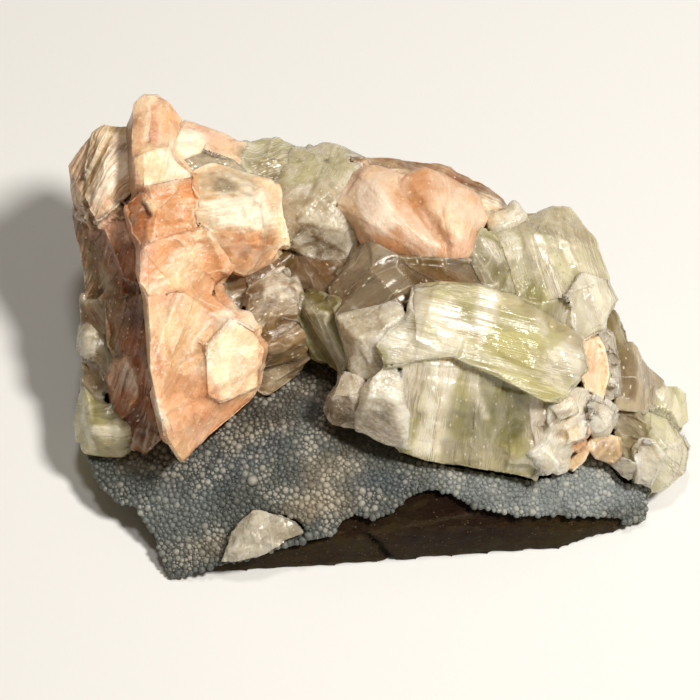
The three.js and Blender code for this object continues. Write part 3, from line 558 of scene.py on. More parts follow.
finishes = {
    "apophyllite_green": mineral("green apophyllite", glassy),
    "apophyllite_clear": mineral("clear apophyllite", {
        **glassy, "transmission": 0.18, "glint": 0.12, "cloud": 0.4, "tint": "grey",
        "absorbed": (0.8, 0.76, 0.62, 1)}),
    "apophyllite_smoky": mineral("smoky apophyllite", {
        **glassy, "cloud": 0.15, "streak": 0.2, "paleSheen": 0.25, "tint": "brown", "absorbed": (0.7, 0.6, 0.4, 1),
        "density": 30}),
    "stilbite_peach": mineral("peach stilbite", {
        **pearly, "deep": 0.3, "cleftShade": 0.07, "darkLines": 0.14}),
    "stilbite_cream": mineral("cream stilbite", {
        **pearly, "cleftShadeColour": "brown", "cloudColour": "ivory", "deep": 0.35}),
    "stilbite_golden": mineral("golden stilbite", {
        **pearly, "streak": 0.55, "lineRelief": 0.09, "tint": "brown", "darkLines": 0.35, "evenLines": 0.6,
        "cleftShadeColour": "brown", "coat": 0.4}),
    # Red stilbite of the shaded left flank: its red-brown tint is partly its own and partly painted shade.
    "stilbite_red": mineral("red stilbite", {
        **pearly, "cleftShadeColour": "redBrown", "cloudColour": "rust", "paleSheenColour": "blush", "tint": "redBrown",
        "paleSheen": 0.5, "cloud": 0.25, "window": 0.8, "streak": 0.35, "glint": 0.25, "grainRelief": 0.35}),
}
ownFinishes = {  # pieces that are clearer or silkier than the rest of their slot
    "stilbite_bow_tie": mineral("satin stilbite", {
        **pearly, "deep": 0.2, "patchwork": 0.03, "glint": 0.05, "darkLines": 0.08, "streak": 0.16, "spacing": 0.4,
        "lineRelief": 0.03, "coat": 0.4, "coatRoughness": 0.4, "cloudColour": "silk", "cloud": 0.35}),
    "stilbite_golden_sheaf": mineral("sheaf stilbite", {
        **pearly, "spacing": 0.5, "stretch": 60, "streak": 0.6, "lineRelief": 0.16, "evenLines": 0.7,
        "darkLines": 0.5, "tint": "brown", "cleftShadeColour": "brown", "coat": 0.5, "deep": 0.3, "glint": 0.16}),
    # The hollow column's own finish is darker, partly its silver-grey and partly painted shade of the hollow it stands
    # in.
    "stilbite_hollow_column": mineral("silver stilbite in shade", {
        **pearly, "cloud": 0.15, "cloudColour": "grey", "deep": 0.6, "streak": 0.3, "streakColour": "milk",
        "tint": "brown", "cleftShadeColour": "brown", "glint": 0.18}),
    "frosted": mineral("frosted apophyllite", {
        **glassy, "transmission": 0.2, "streak": 0.14, "darkLines": 0.06, "lineRelief": 0.04, "cloud": 0.5,
        "veilSize": 3.2, "veilStretch": 0.9, "crack": 0.6, "paintedGlint": 1.0, "deep": 0.4, "tint": "grey", "glint": 0.2,
        "facetSize": 1.8, "facetStretch": 1.4, "grainRelief": 0.12, "absorbed": (0.8, 0.76, 0.62, 1)}),
    "waterClear": mineral("water clear apophyllite", {
        **glassy, "transmission": 0.5, "subsurface": 0.3, "cloud": 0.3, "deep": 0.2, "streak": 0.1, "crack": 1.0,
        "veilStretch": 1, "darkLines": 0, "lineRelief": 0.03, "veilSize": 3, "paleSheen": 1.0, "paleSheenColour": "ivory",
        "glint": 0.3, "facetSize": 1.6, "roughness": (0.05, 0.25), "absorbed": (0.85, 0.82, 0.72, 1),
        "density": 12}),
}
for node in ("apophyllite_front_clear", "apophyllite_front_small", "apophyllite_right_sparkle"):
    ownFinishes[node] = ownFinishes["waterClear"]
for node in ("apophyllite_cube_large", "apophyllite_cube_small", "apophyllite_step", "apophyllite_right_cluster",
             "apophyllite_corner_small", "apophyllite_bud", "apophyllite_back_small", "apophyllite_top_centre"):
    ownFinishes[node] = ownFinishes["frosted"]
print("finishes made")

# Each crystal's relief in mm, how far it reaches for its neighbours, the turn of its growth lines in degrees, its
# colour and its stains.
fineRelief = {
    "cell": 0.27, "strips": (0.6, 2.6), "ledge": 0.1, "chips": 90, "chipDepth": 0.6, "chipReach": 3.5, "slants": 12,
    "drop": 0.5, "swell": 0.12, "rough": 0.06, "cut": False, "reach": 4.4, "fill": 0.75, "soften": 2, "soft": 0.8,
    "growth": 0,
}
sharp = {
    **fineRelief, "ledge": 0.2, "chips": 60, "chipDepth": 0.35, "chipReach": 2.6, "slants": 9, "drop": 0.4,
    "swell": 0.05, "rough": 0.02, "cut": True, "soften": 0, "soft": 0.4,
}
ragged = {
    **fineRelief, "strips": (0.4, 1.6), "ledge": 0.16, "chips": 110, "chipDepth": 0.7, "chipReach": 3, "slants": 14,
    "drop": 0.55, "swell": 0.15, "rough": 0.08, "soften": 0, "soft": 0.4,
}
silky = {
    **fineRelief, "strips": (0.35, 1.3), "ledge": 0.25, "chips": 60, "chipDepth": 0.4, "slants": 3, "rough": 0.04,
    "soften": 6, "blur": 1.1, "soft": 1.3,
}

crystals = {
    "apophyllite_main_upper": {
        **sharp, "cell": 0.28, "soft": 0.7, "striae": -14, "colour": "green",
        "stains": [("milk", 5.5, 50.5, 5, 7, 0.8), ("milk", 10, 43, 9, 3.5, 0.6), ("milk", 35, 41, 5, 5, 0.7),
            ("grey", 39, 47, 4, 8, 0.6), ("deepGreen", 26, 40, 7, 3, 0.3)]},
    "apophyllite_main_lower": {
        **sharp, "soft": 0.8, "striae": 83, "colour": "green",
        "stains": [("deepGreen", 22, 36, 4, 3, 0.5), ("deepGreen", 25, 34, 7, 7, 0.85),
            ("deepGreen", 17.5, 28, 5, 6, 0.6), ("milk", 11.5, 34, 3.5, 12, 0.8), ("milk", 7, 36.5, 4, 6, 0.6),
            ("lilac", 30, 29, 2, 7, 0.8), ("milk", 28.5, 21.5, 5, 3, 0.6)]},
    "apophyllite_back_right": {
        **sharp, "soften": 2, "soft": 0.35, "striae": -72, "colour": "paleGreen",
        "stains": [("olive", 19, 59, 6, 7, 0.9), ("olive", 23, 52, 7, 4, 0.6), ("grey", 40, 64, 8, 5, 0.5),
            ("milk", 41.5, 52, 6, 7, 0.6), ("green", 29.5, 52, 5, 5, 0.5)]},
    "apophyllite_long": {
        **sharp, "striae": -65, "colour": "deepGreen",
        "stains": [("smoke", -8, 44, 4, 10, 0.5), ("smoke", -12, 52, 5, 4, 0.7), ("olive", -9, 40, 4, 5, 0.6)]},
    "apophyllite_step": {
        **sharp, "striae": 30, "colour": "milk",
        "stains": [("milk", 0.5, 50.5, 5, 2.5, 0.7), ("grey", -5, 43, 4, 6, 0.6)]},
    "apophyllite_cube_large": {
        **sharp, "striae": -20, "colour": "milk",
        "stains": [("ivory", 1.5, 36, 4.5, 3, 0.8)]},
    "apophyllite_cube_small": {
        **sharp, "striae": 30, "colour": "lilac",
        "stains": [("smoke", -9, 30, 4, 2, 0.4)]},
    "apophyllite_smoky_upper": {
        **sharp, "reach": 5.5, "fill": 0.95, "striae": 35, "colour": "smoke",
        "stains": [("dusk", -2, 58, 6, 4, 0.7)]},
    "apophyllite_smoky_right": {
        **sharp, "striae": -55, "colour": "smoke",
        "stains": [("dusk", 4, 57, 5, 4, 0.7)]},
    "apophyllite_back_small": {
        **ragged, "reach": 5.0, "fill": 0.9, "growth": 0.9, "striae": 40, "colour": "clear",
        "stains": [("cream", 22.5, 69, 2.5, 2, 0.9)]},
    "apophyllite_right_cluster": {
        **ragged, "striae": 60, "colour": "milk",
        "stains": [("clear", 25, 22, 5, 4, 0.6), ("cream", 36, 28, 3, 8, 0.4)]},
    "apophyllite_right_point": {
        **ragged, "striae": 40, "colour": "milk", "stains": []},
    "apophyllite_right_sparkle": {
        **ragged, "striae": -70, "colour": "ivory", "stains": []},
    "apophyllite_top_centre": {
        **sharp, "slants": 14, "drop": 0.6, "striae": 60, "colour": "grey",
        "stains": [("green", -16, 77, 6, 5, 0.5), ("paleGreen", -9, 78, 6, 5, 0.5), ("smoke", -13, 62, 5, 3, 0.4),
            ("golden", -14, 69, 8, 6, 0.35)]},
    "apophyllite_top_left": {
        **sharp, "slants": 12, "striae": 20, "colour": "paleGreen",
        "stains": [("grey", -20, 79, 5, 4, 0.5)]},
    "apophyllite_crescent": {
        **sharp, "striae": 10, "colour": "grey",
        "stains": [("golden", -30, 75, 6, 3, 0.5)]},
    "apophyllite_flank_grey": {
        **ragged, "reach": 5.0, "fill": 0.9, "growth": 0.35, "striae": -60, "colour": "dusk",
        "stains": [("smoke", -52, 44, 4, 9, 0.7)]},
    "apophyllite_bud": {
        **sharp, "growth": 0.6, "striae": 80, "colour": "grey",
        "stains": [("olive", -54, 45, 2, 3, 0.4)]},
    "apophyllite_left_foot": {
        **sharp, "reach": 5.0, "fill": 0.9, "growth": 0.7, "striae": 0, "colour": "green",
        "stains": [("milk", -50, 32, 2, 6, 0.6), ("deepGreen", -47, 35, 4, 4, 0.4)]},
    "apophyllite_hollow_right": {
        **sharp, "striae": -40, "colour": "smoke",
        "stains": [("brown", -12, 58, 5, 5, 0.7)]},
    "apophyllite_hollow_left": {
        **ragged, "striae": 20, "colour": "smoke",
        "stains": [("brown", -22, 56, 6, 5, 0.7)]},
    "apophyllite_edge_upper": {
        **sharp, "striae": -70, "colour": "olive",
        "stains": [("grey", 47, 47, 3, 5, 0.5)]},
    "apophyllite_edge_round": {
        **sharp, "striae": 85, "colour": "grey",
        "stains": [("olive", 45, 42, 3, 7, 0.6)]},
    "apophyllite_corner_small": {
        **ragged, "striae": -75, "colour": "milk",
        "stains": [("smoke", 49, 29, 3, 5, 0.4)]},
    "apophyllite_corner_round": {
        **sharp, "striae": -45, "colour": "paleGreen",
        "stains": [("grey", 47.5, 32, 3, 5, 0.8), ("milk", 58, 26, 4, 4, 0.5)]},
    "apophyllite_corner_tip": {
        **sharp, "striae": 70, "colour": "paleGreen",
        "stains": [("green", 55, 35, 3, 3, 0.5)]},
    "apophyllite_front_clear": {
        **sharp, "growth": 0.55, "slants": 20, "drop": 0.7, "striae": 75, "colour": "milk", "stains": []},
    "apophyllite_front_small": {
        **ragged, "striae": -20, "colour": "clear", "stains": []},
    "stilbite_fin_crest": {
        **fineRelief, "cell": 0.3, "striae": 80, "colour": "blush",
        "stains": [("orange", -39, 87, 3, 4, 0.55), ("pink", -43, 86, 3, 6, 0.6), ("rust", -42, 84, 1.2, 4.5, 0.7),
            ("cream", -42, 77, 4, 5, 0.8), ("ivory", -38, 77, 3, 5, 0.7), ("rust", -45.5, 82, 1.5, 8, 0.6)]},
    "stilbite_fin_shoulder": {
        **fineRelief, "striae": 10, "colour": "orange",
        "stains": [("cream", -42, 70.5, 2, 1.2, 0.8, -35), ("rust", -44.5, 68, 1.8, 6, 0.7)]},
    "stilbite_fin_middle": {
        **fineRelief, "striae": 40, "colour": "peach",
        "stains": [("pink", -42.5, 60, 2, 8, 0.6), ("cream", -35, 58, 6, 4, 0.5), ("orange", -31, 62, 3, 4, 0.4)]},
    "stilbite_fin_foot": {
        **fineRelief, "striae": 60, "colour": "peach",
        "stains": [("ivory", -27.5, 42, 6.5, 8, 0.85), ("cream", -37, 48, 6, 4, 0.5), ("pink", -34, 30, 6, 5, 0.4),
            ("rust", -41, 34, 1.2, 12, 0.6)]},
    "stilbite_bow_tie": {
        **silky, "ledge": 0.12, "soft": 0.7, "reach": 5.5, "fill": 0.9, "fan": (14.5, 57), "colour": "peach",
        "stains": [("blush", 15, 69, 7, 6, 0.5, -40), ("silk", -1, 71, 5, 7, 0.8),
            ("cream", 14, 68, 5, 6, 0.4, -50), ("amber", 9, 67.5, 1.2, 9, 0.4, 30),
            # The amber band along the lower edge is partly the sheaf's amber rim and partly painted shade of its
            # underside.
            ("amber", 2.5, 61.5, 11, 1.8, 0.9, -24)]},
    "stilbite_back_layer": {
        **fineRelief, "striae": -25, "colour": "brown",
        "stains": [("cream", 21.5, 71.5, 2.5, 2.2, 0.9), ("pink", 12, 77, 6, 2, 0.4)]},
    "stilbite_back_ridge": {
        **fineRelief, "striae": 30, "colour": "blush",
        "stains": [("pink", -33, 86, 5, 2, 0.6), ("ivory", -35, 82.5, 3, 2.5, 0.9),
            ("grey", -26, 81, 3, 2.5, 0.7)]},
    "stilbite_cream_block": {
        **fineRelief, "reach": 3.2, "fill": 0.6, "striae": 10, "colour": "cream",
        "stains": [("grey", -26.5, 75, 5, 3, 0.8), ("ivory", -25, 70.5, 7, 3, 0.9),
            ("peach", -25.5, 61, 7, 4, 0.8)]},
    "stilbite_golden_sheaf": {
        **fineRelief, "strips": (0.35, 1.2), "ledge": 0.25, "slants": 4, "striae": 62, "colour": "golden",
        "stains": [("silk", -51, 79, 4, 6, 0.6), ("pink", -53, 69, 5, 5, 0.6)]},
    # The left flank lies in shade: its brown and red-brown colours are partly its own and partly painted shade.
    "stilbite_flank_upper": {
        **ragged, "soft": 0.8, "reach": 6.0, "fill": 1.0, "striae": 75, "colour": "brown",
        "stains": [("pink", -52, 62.5, 3, 6, 0.7), ("rust", -48, 60, 2, 9, 0.6), ("smoke", -55, 58, 3, 8, 0.6)]},
    "stilbite_lens": {
        **silky, "striae": 70, "colour": "orange",
        "stains": [("rust", -48.5, 36, 2, 4, 0.9), ("silk", -46.8, 39, 1.5, 3, 0.5)]},
    # Brown and red-brown here are partly the flank's own colour and partly painted shade.
    "stilbite_flank_lower": {
        **ragged, "soft": 0.8, "striae": 75, "colour": "brown",
        "stains": [("redBrown", -47, 48, 3, 6, 0.8), ("redBrown", -45.5, 34, 3, 9, 0.9),
            ("olive", -51, 40, 3, 8, 0.5)]},
    # The column's smoke colour is partly its grey-brown and partly painted shade of the hollow.
    "stilbite_hollow_column": {
        **sharp, "reach": 6.0, "fill": 0.9, "striae": 20, "colour": "smoke",
        "stains": [("brown", -19, 46, 6, 4, 0.6, 20), ("dusk", -20, 55, 5, 4, 0.8)]},
    "stilbite_hollow_ledge": {
        **fineRelief, "striae": 15, "colour": "smoke",
        "stains": [("grey", -20, 38, 4, 2, 0.6)]},
    "stilbite_right_patch": {
        **fineRelief, "striae": 80, "colour": "cream",
        "stains": [("peach", 41, 41, 2, 6, 0.5)]},
    "stilbite_right_blade": {
        **fineRelief, "striae": 65, "colour": "peach",
        "stains": [("cream", 39, 33, 2, 3, 0.5)]},
    "stilbite_right_foot": {
        **fineRelief, "striae": 50, "colour": "golden", "stains": []},
}


# Markings seen on the faces: colour, strength, height in mm, lean to the right and up, and the outline's x, s in mm.
markings = {
    "stilbite_fin_crest": [
        ("orange", 0.45, 0, (0.05, 0), (-41.3, 91, -39.3, 90.4, -37, 87.8, -35.7, 84.8, -37.8, 82.5, -40.8, 82,
         -42.1, 86.3, -42.3, 89.3)),
        ("cream", 0.65, 0.1, (-0.1, 0), (-45.1, 90.4, -42.6, 90.6, -43, 86.3, -43.4, 82.5, -45.3, 81.4,
         -45.8, 84.4)),
        ("orange", 0.7, 0, (-0.1, 0), (-45.3, 86.7, -44.3, 86.3, -44, 80.6, -45.1, 77.8, -46, 80.6)),
        ("rust", 0.8, -0.5, (0, 0), (-42.3, 89.3, -41.7, 88.9, -42.1, 86.3, -42.5, 82, -43, 82, -42.8, 85.9)),
        ("cream", 1, 0.25, (0.05, 0.05), (-45.8, 81.4, -43, 81.6, -40.8, 81.4, -38.5, 80.6, -34.8, 76.5,
         -43.4, 73.7, -44.9, 75)),
        ("ivory", 0.9, 0.15, (0.12, 0.12), (-40.8, 80.6, -38.5, 80.3, -35.5, 76.5, -39.3, 75.4)),
        ("orange", 0.7, -0.15, (0, 0), (-38.7, 80.6, -38.1, 80.6, -34.2, 76.9, -34.8, 76.3)),
        ("orange", 0.9, 0, (-0.05, -0.05), (-46.2, 76.1, -44.5, 74.6, -43.4, 72.8, -46.4, 72.8)),
    ],
    "stilbite_fin_shoulder": [
        ("orange", 0.8, 0.2, (0.08, 0.12), (-43.6, 73.6, -33.9, 76, -34.3, 71.3, -38.4, 70.6, -42.5, 71.2,
         -43.3, 72.1)),
        ("rust", 0.85, -0.35, (-0.2, 0), (-47.4, 72.3, -44.4, 71.3, -42.7, 68.9, -43.4, 66.3, -43.3, 62.2,
         -45.5, 61.8, -47, 66.5)),
        ("peach", 0.7, 0.05, (0, -0.05), (-41.8, 70, -34.1, 71.2, -31.7, 67.2, -38.4, 66.5, -40.6, 63.9,
         -42.5, 65.2, -42.5, 68.2)),
        ("cream", 0.9, 0.3, (0.1, 0.2), (-44.4, 71.2, -41.8, 70.6, -42.1, 68.5)),
        ("umber", 1, -0.6, (0, 0), (-44.9, 70.8, -44.2, 70.6, -42.5, 68.5, -43.1, 68.2)),
        ("orange", 0.9, -0.2, (0.05, -0.1), (-39.1, 67, -33.2, 67.4, -37.6, 64, -39.5, 64)),
    ],
    "stilbite_fin_middle": [
        ("pink", 0.8, 0.1, (-0.1, 0.1), (-44.3, 62.7, -42.5, 63.7, -41.7, 59.5, -43.8, 54.3, -45.1, 55.2,
         -44.9, 59.5)),
        ("cream", 0.6, 0.15, (0.05, 0.1), (-39.7, 58, -35, 63.7, -33.1, 62.5, -37.2, 55.2, -40.6, 52.4,
         -42.5, 52.8)),
        ("orange", 0.6, -0.1, (0, -0.1), (-42.5, 59.5, -38.7, 62.5, -37.6, 61.8, -42.5, 54.3, -43.8, 54.3)),
        ("cream", 0.7, 0.1, (0.1, 0), (-34.1, 67, -31.6, 67, -31.3, 63.7, -33.9, 63.7)),
        ("orange", 0.6, -0.15, (0.1, -0.1), (-32.2, 59.5, -29.4, 59.5, -29, 54.3, -32.2, 51.5, -35, 52.4)),
        ("cream", 0.5, 0.1, (-0.05, 0.1), (-44.7, 55.2, -39.7, 54.3, -35.9, 53, -42.5, 50.9, -44.3, 51.5)),
    ],
    "stilbite_fin_foot": [
        ("golden", 0.6, 0, (0, 0), (-42.4, 50.9, -33.1, 52.4, -30.8, 46.8, -32.1, 40.3, -37.7, 39.4, -41.4, 44)),
        ("cream", 0.8, 0.1, (-0.05, 0.05), (-31.4, 47, -24.3, 49.2, -21.9, 47.4, -22.2, 33.8, -27.1, 33.6,
         -30.3, 35.3, -30.8, 41.2)),
        ("peach", 0.8, 0, (0, -0.1), (-40.5, 38.4, -31.2, 39, -29, 33.8, -32.1, 29.1, -36.8, 28.2, -39.6, 33.8)),
        ("orange", 0.5, -0.35, (0.05, -0.3), (-31.7, 27.8, -29, 32.9, -23.2, 34.2, -23.4, 31.5, -28.4, 26.3,
         -31.6, 25)),
        ("cream", 0.3, 0.15, (0, -0.15), (-39.6, 29.1, -34.9, 30.1, -33.8, 25.4, -36.8, 22.2, -38.6, 23.5)),
        ("cream", 0.5, 0.1, (-0.15, 0), (-44.8, 51.3, -42.9, 50.6, -42, 45, -40.9, 39.4, -40.5, 34.7, -42, 34.7,
         -43.1, 40.3, -44, 45.9)),
        ("ivory", 0.9, 0.35, (-0.1, 0.1), (-41.8, 34.7, -40.5, 33.8, -38.5, 29.1, -39, 27.4, -41.4, 30.4)),
        # The next two ivory marks are painted glints on the foot's face.
        ("ivory", 1, 0.3, (-0.17, 0.17), (-30.4, 50.2, -27.8, 51.3, -25.6, 49.1, -27.1, 47.2, -29.7, 47.6)),
        ("ivory", 0.7, 0.2, (-0.05, 0.15), (-27.1, 49.1, -24.1, 50.2, -22.4, 48.3, -23.4, 46.8, -25.6, 47.6)),
        ("rust", 0.7, -0.25, (0, 0), (-32.5, 31.2, -30.8, 31.7, -30.4, 30.1, -32.5, 29.1)),
        ("rust", 0.7, 0, (0, 0), (-31.4, 39, -30.8, 39, -30.8, 37.7)),
    ],
    "stilbite_cream_block": [
        ("peach", 0.9, -0.15, (0, -0.3), (-30.9, 65.9, -18.7, 65.9, -18.1, 63.1, -21.7, 59.7, -25.8, 57.2,
         -29.2, 58.5, -29.8, 62.3)),
        ("orange", 0.6, -0.1, (0, -0.1), (-29.2, 61.9, -21.7, 64.6, -19, 63.8, -23.9, 59.7, -28.5, 59.3)),
        ("grey", 0.8, 0, (0, 0.1), (-34.1, 75.9, -31.7, 77.9, -29.2, 77.6, -23.6, 75.1, -21.7, 72.1, -26.8, 71.7,
         -31.1, 72.7, -33.4, 71.4)),
        ("smoke", 0.8, -0.15, (0, 0), (-31.3, 75.1, -29.2, 76.3, -26.9, 75.1, -26.6, 73.2, -29.2, 72.9,
         -31.1, 73.2)),
        ("ivory", 1, 0.2, (0, -0.1), (-33, 70.8, -26.6, 71.5, -20.5, 70.4, -18.5, 68.7, -18.7, 66.1, -31.1, 66.1,
         -31.8, 68.7)),
        ("ivory", 0.8, 0.15, (0.1, 0.2), (-30.7, 77.4, -29.2, 77.4, -22.8, 74, -23.9, 73.8, -29.2, 76.4)),
        ("pink", 0.5, 0.1, (0.1, 0), (-22.4, 74.9, -18.7, 74.9, -18.1, 70.4, -20.5, 70.4, -22.1, 72.3)),
        ("smoke", 0.6, -0.2, (0, 0), (-23.4, 72.1, -21.7, 71.4, -21.3, 70, -22.8, 70.4)),
    ],
    "stilbite_back_ridge": [
        ("pink", 0.7, 0.1, (0, 0), (-37.2, 86.7, -33.8, 86, -29, 83.9, -25.6, 83.3, -26.9, 81.4, -30.9, 82.1,
         -33.8, 84.4, -36.7, 85)),
        ("peach", 0.5, 0, (0, 0), (-32.8, 83.3, -27.1, 81.4, -25.2, 78.5, -29, 79.5, -32.5, 81.4)),
        ("ivory", 1, 0.3, (0.15, 0.15), (-39.2, 82.7, -37.2, 84.8, -34.4, 84.6, -33.2, 82.7, -33.8, 81.2,
         -36.3, 80.4)),
        ("smoke", 0.8, -0.2, (0, 0), (-26.5, 82.1, -24.6, 81.7, -24.2, 80, -26.1, 79.8)),
    ],
    "apophyllite_top_centre": [
        ("paleGreen", 0.4, 0.1, (0.05, 0.1), (-16.6, 82, -10.8, 83, -6.1, 80.9, -6.1, 76.5, -14.6, 73.6,
         -17.7, 75.5)),
        ("grey", 0.8, 0.2, (0.1, 0), (-17.7, 73.6, -8.9, 75.9, -6.1, 71.7, -6.6, 67, -11.2, 71.7, -16.6, 67)),
        ("smoke", 0.7, -0.2, (0, -0.25), (-14.6, 67.1, -6.1, 65.1, -6.1, 59.9, -10.4, 60.7, -15.4, 62.6,
         -16.6, 64.9)),
        ("milk", 0.5, 0.2, (0.05, 0.1), (-11.2, 72.5, -6.6, 67.5, -6.1, 65.6, -14.6, 67.5)),
        ("smoke", 0.5, -0.1, (-0.1, 0), (-23.8, 81.3, -17.7, 81.3, -18.1, 75.2, -21.9, 76.3)),
        ("umber", 1, 0, (0, 0), (-9.9, 79.7, -9.2, 79.7, -9.2, 78.5, -9.9, 78.5)),
    ],
    "apophyllite_top_left": [
        ("smoke", 0.6, 0, (0, -0.1), (-25.3, 79.6, -19.5, 80, -18.2, 75.8, -22, 76.2)),
        ("milk", 0.5, 0.1, (0, 0.1), (-25.1, 83.1, -22, 83.1, -20.9, 81.2, -24.3, 80.6)),
    ],
    "stilbite_bow_tie": [
        ("cream", 0.6, 0, (0, 0.1), (-3, 78.3, 2.8, 78.5, 4.7, 75.6, 3.4, 72.4, -1.3, 75.3)),
        ("silk", 0.8, 0.1, (0.15, 0), (-3.6, 74.3, -0.4, 75.3, 2.1, 71.5, 3.4, 66.7, 1.3, 64.7, -1.7, 66.6,
         -3.8, 70.5)),
        ("silk", 0.6, 0.05, (0.05, -0.05), (5.3, 71.5, 11.9, 63, 11.2, 60.5, 6.2, 62.8, 3.4, 66.7)),
        ("silk", 0.7, 0.1, (0.1, 0), (10, 73.4, 14.8, 71.5, 20.4, 70.5, 19.1, 66.7, 13.8, 68.6)),
        ("blush", 0.5, -0.1, (0, 0), (8.9, 76.2, 11.9, 76.8, 17.6, 73, 13.8, 72.2)),
        ("amber", 0.55, -0.2, (-0.15, 0), (5.5, 75.3, 7.8, 73.4, 10.4, 69.2, 14.2, 63.9, 13.8, 62, 11.9, 64.3,
         8.9, 69.6)),
        ("pink", 0.6, 0.15, (0, -0.1), (13.1, 63.9, 17.6, 64.9, 18, 62, 16.1, 60.5, 13.8, 61.1)),
        ("golden", 0.7, -0.1, (-0.1, 0), (-7.9, 72.4, -4.2, 73.7, -4, 70.5, -2.1, 66.7, -3.2, 65.4, -6, 67.3,
         -8.1, 70)),
        # The long amber mark is partly the amber rim and partly painted shade of the underside.
        ("amber", 0.95, -0.45, (0, -0.3), (-7.9, 68.4, -4.7, 66.9, -2.1, 64.7, 0.2, 63.3, 5.7, 61.4, 11.9, 59.7,
         13.2, 60.3, 16.1, 59.7, 18.7, 61.3, 18.7, 58.6, 13.8, 58.2, 8.1, 58.6, 1.5, 60.1, -3.2, 62.4, -7.7, 65.8)),
        ("amber", 0.9, -0.8, (-0.15, 0), (4.7, 76.8, 5.9, 74.9, 8.9, 70, 13.8, 62.8, 13.1, 61.6, 11.9, 63.1,
         7.8, 69, 5.1, 73, 4.4, 74.9)),
        ("brown", 0.5, -0.4, (0, 0), (3.2, 79.4, 6.2, 79.4, 5.5, 77.1, 5.1, 74.9, 4.4, 75.6, 4, 77.5)),
    ],
    "stilbite_back_layer": [
        ("rust", 0.6, 0, (0, 0), (-5.1, 82.1, -0.9, 80, -1.6, 78.8, -4.7, 80.5)),
        ("redBrown", 0.5, -0.1, (0, 0), (3.5, 80, 12.2, 79.6, 18.9, 76.5, 23.7, 73.4, 26.6, 71.9, 23.7, 70.8,
         17.9, 73.8, 12.2, 77.3, 6.4, 78.6)),
        ("ivory", 1, 0.3, (0.15, 0.15), (21, 71.9, 23.7, 72.1, 23.3, 70.8, 21.2, 70.2)),
        ("cream", 0.8, 0.2, (0.1, 0.1), (19.9, 73.4, 21.8, 73.8, 22.2, 72.5, 20.6, 71.9)),
    ],
    "apophyllite_back_small": [
        ("smoke", 0.7, -0.1, (0, 0), (23.4, 72.3, 25.7, 72.3, 24.9, 70.4, 23.4, 70.1)),
        ("ivory", 0.8, 0.25, (0.15, 0.15), (22.2, 68.2, 25.7, 70.4, 26, 69.3, 23, 67)),
    ],
    "apophyllite_back_right": [
        ("olive", 1, 0, (0, 0), (16, 59.7, 19.1, 64.2, 22.1, 64.8, 23.6, 60.1, 24.5, 54.4, 17.5, 55.2)),
        ("olive", 0.65, 0, (-0.1, -0.1), (23.2, 59.7, 28.9, 62, 32.1, 52.5, 27, 52.2, 24.2, 54)),
        ("grey", 0.8, -0.15, (0, 0.2), (24.2, 66.1, 27.6, 68.8, 33, 70.8, 36.6, 70.5, 38.1, 68.4, 42.1, 63.3,
         40.2, 62.5, 34.5, 64.6, 29.4, 66.5)),
        ("milk", 0.9, 0.1, (0.4, -0.3), (23.2, 66.1, 25.5, 66.5, 27, 62, 25.9, 59.7, 24.2, 62)),
        # The ivory strips here and below are painted glints along the striae.
        ("ivory", 1, 0.15, (-0.3, -0.4), (29.2, 65.7, 31.6, 65.4, 34.7, 54.4, 32.4, 53.1, 30.5, 59.7)),
        ("ivory", 0.9, 0.15, (-0.4, -0.3), (34.2, 64.6, 36.1, 64.2, 38.1, 59.7, 36.6, 58.2)),
        ("ivory", 0.8, 0.1, (0.35, -0.3), (20.4, 64.2, 21.8, 64.4, 23.5, 60.5, 22.4, 59.3)),
        ("ivory", 0.9, 0.1, (-0.29, -0.39), (26.8, 65.4, 28.7, 65.4, 31, 57.3, 29.8, 55.2)),
        ("smoke", 0.5, -0.15, (0, -0.1), (31.7, 52.5, 34.5, 54.8, 36.4, 49.1, 37.4, 45.9, 34.5, 47.8)),
        ("milk", 0.9, 0.1, (-0.2, 0.05), (35.1, 54.4, 38.7, 58.2, 43.8, 56.9, 45.7, 52.5, 43, 47.8, 39.3, 46.1,
         36, 49.1)),
        ("ivory", 1, 0.15, (-0.5, 0.17), (37.5, 57.3, 39, 57.8, 40.9, 54, 39.6, 52.3)),
        ("ivory", 1, 0.15, (-0.5, 0.17), (34.9, 53.3, 36.2, 53.3, 38.2, 47.8, 37, 47.4)),
    ],
    "apophyllite_main_upper": [
        ("green", 0.8, 0, (0.05, -0.05), (21.2, 50.5, 28.2, 47.7, 31, 39.4, 26.4, 34.8, 19, 39, 17.1, 43.1)),
        ("deepGreen", 0.5, -0.1, (0, -0.1), (14.4, 43.1, 19, 42.7, 23.6, 36.4, 19, 37.2, 13.1, 40.5)),
        ("grey", 0.7, -0.15, (0, 0.05), (22.7, 53.1, 30.1, 52, 36.6, 46.8, 39.4, 42.7, 36.6, 44, 31, 47.7,
         25.5, 50.1)),
        ("lilac", 0.6, 0.05, (-0.1, 0.1), (6.4, 55, 10.8, 54.6, 9.4, 52.4, 6.4, 50.9, 5.6, 52.4)),
        # The ivory marks here are painted glare; the second milk mark is partly milky crystal and partly painted glare.
        ("ivory", 1, 0.1, (0.19, -0.17), (8.8, 52.4, 13.8, 52.9, 16.4, 49, 18.6, 46.8, 14.9, 43.8, 11.2, 45.3,
         9.2, 49)),
        ("ivory", 1, 0.1, (0.1, -0.17), (18.6, 55, 22.1, 54.6, 22.9, 52.4, 21, 46.8, 18.6, 43.8, 17.7, 48.7)),
        ("milk", 0.9, 0.1, (0.3, -0.12), (-0.3, 45, 4.2, 47.7, 9.7, 45, 14.4, 43.1, 7.9, 41.2, 1.9, 40.9)),
        ("milk", 0.9, 0.15, (-0.25, -0.1), (32.3, 43.1, 35.7, 45, 38.8, 42.2, 37.9, 37.5, 33.8, 39)),
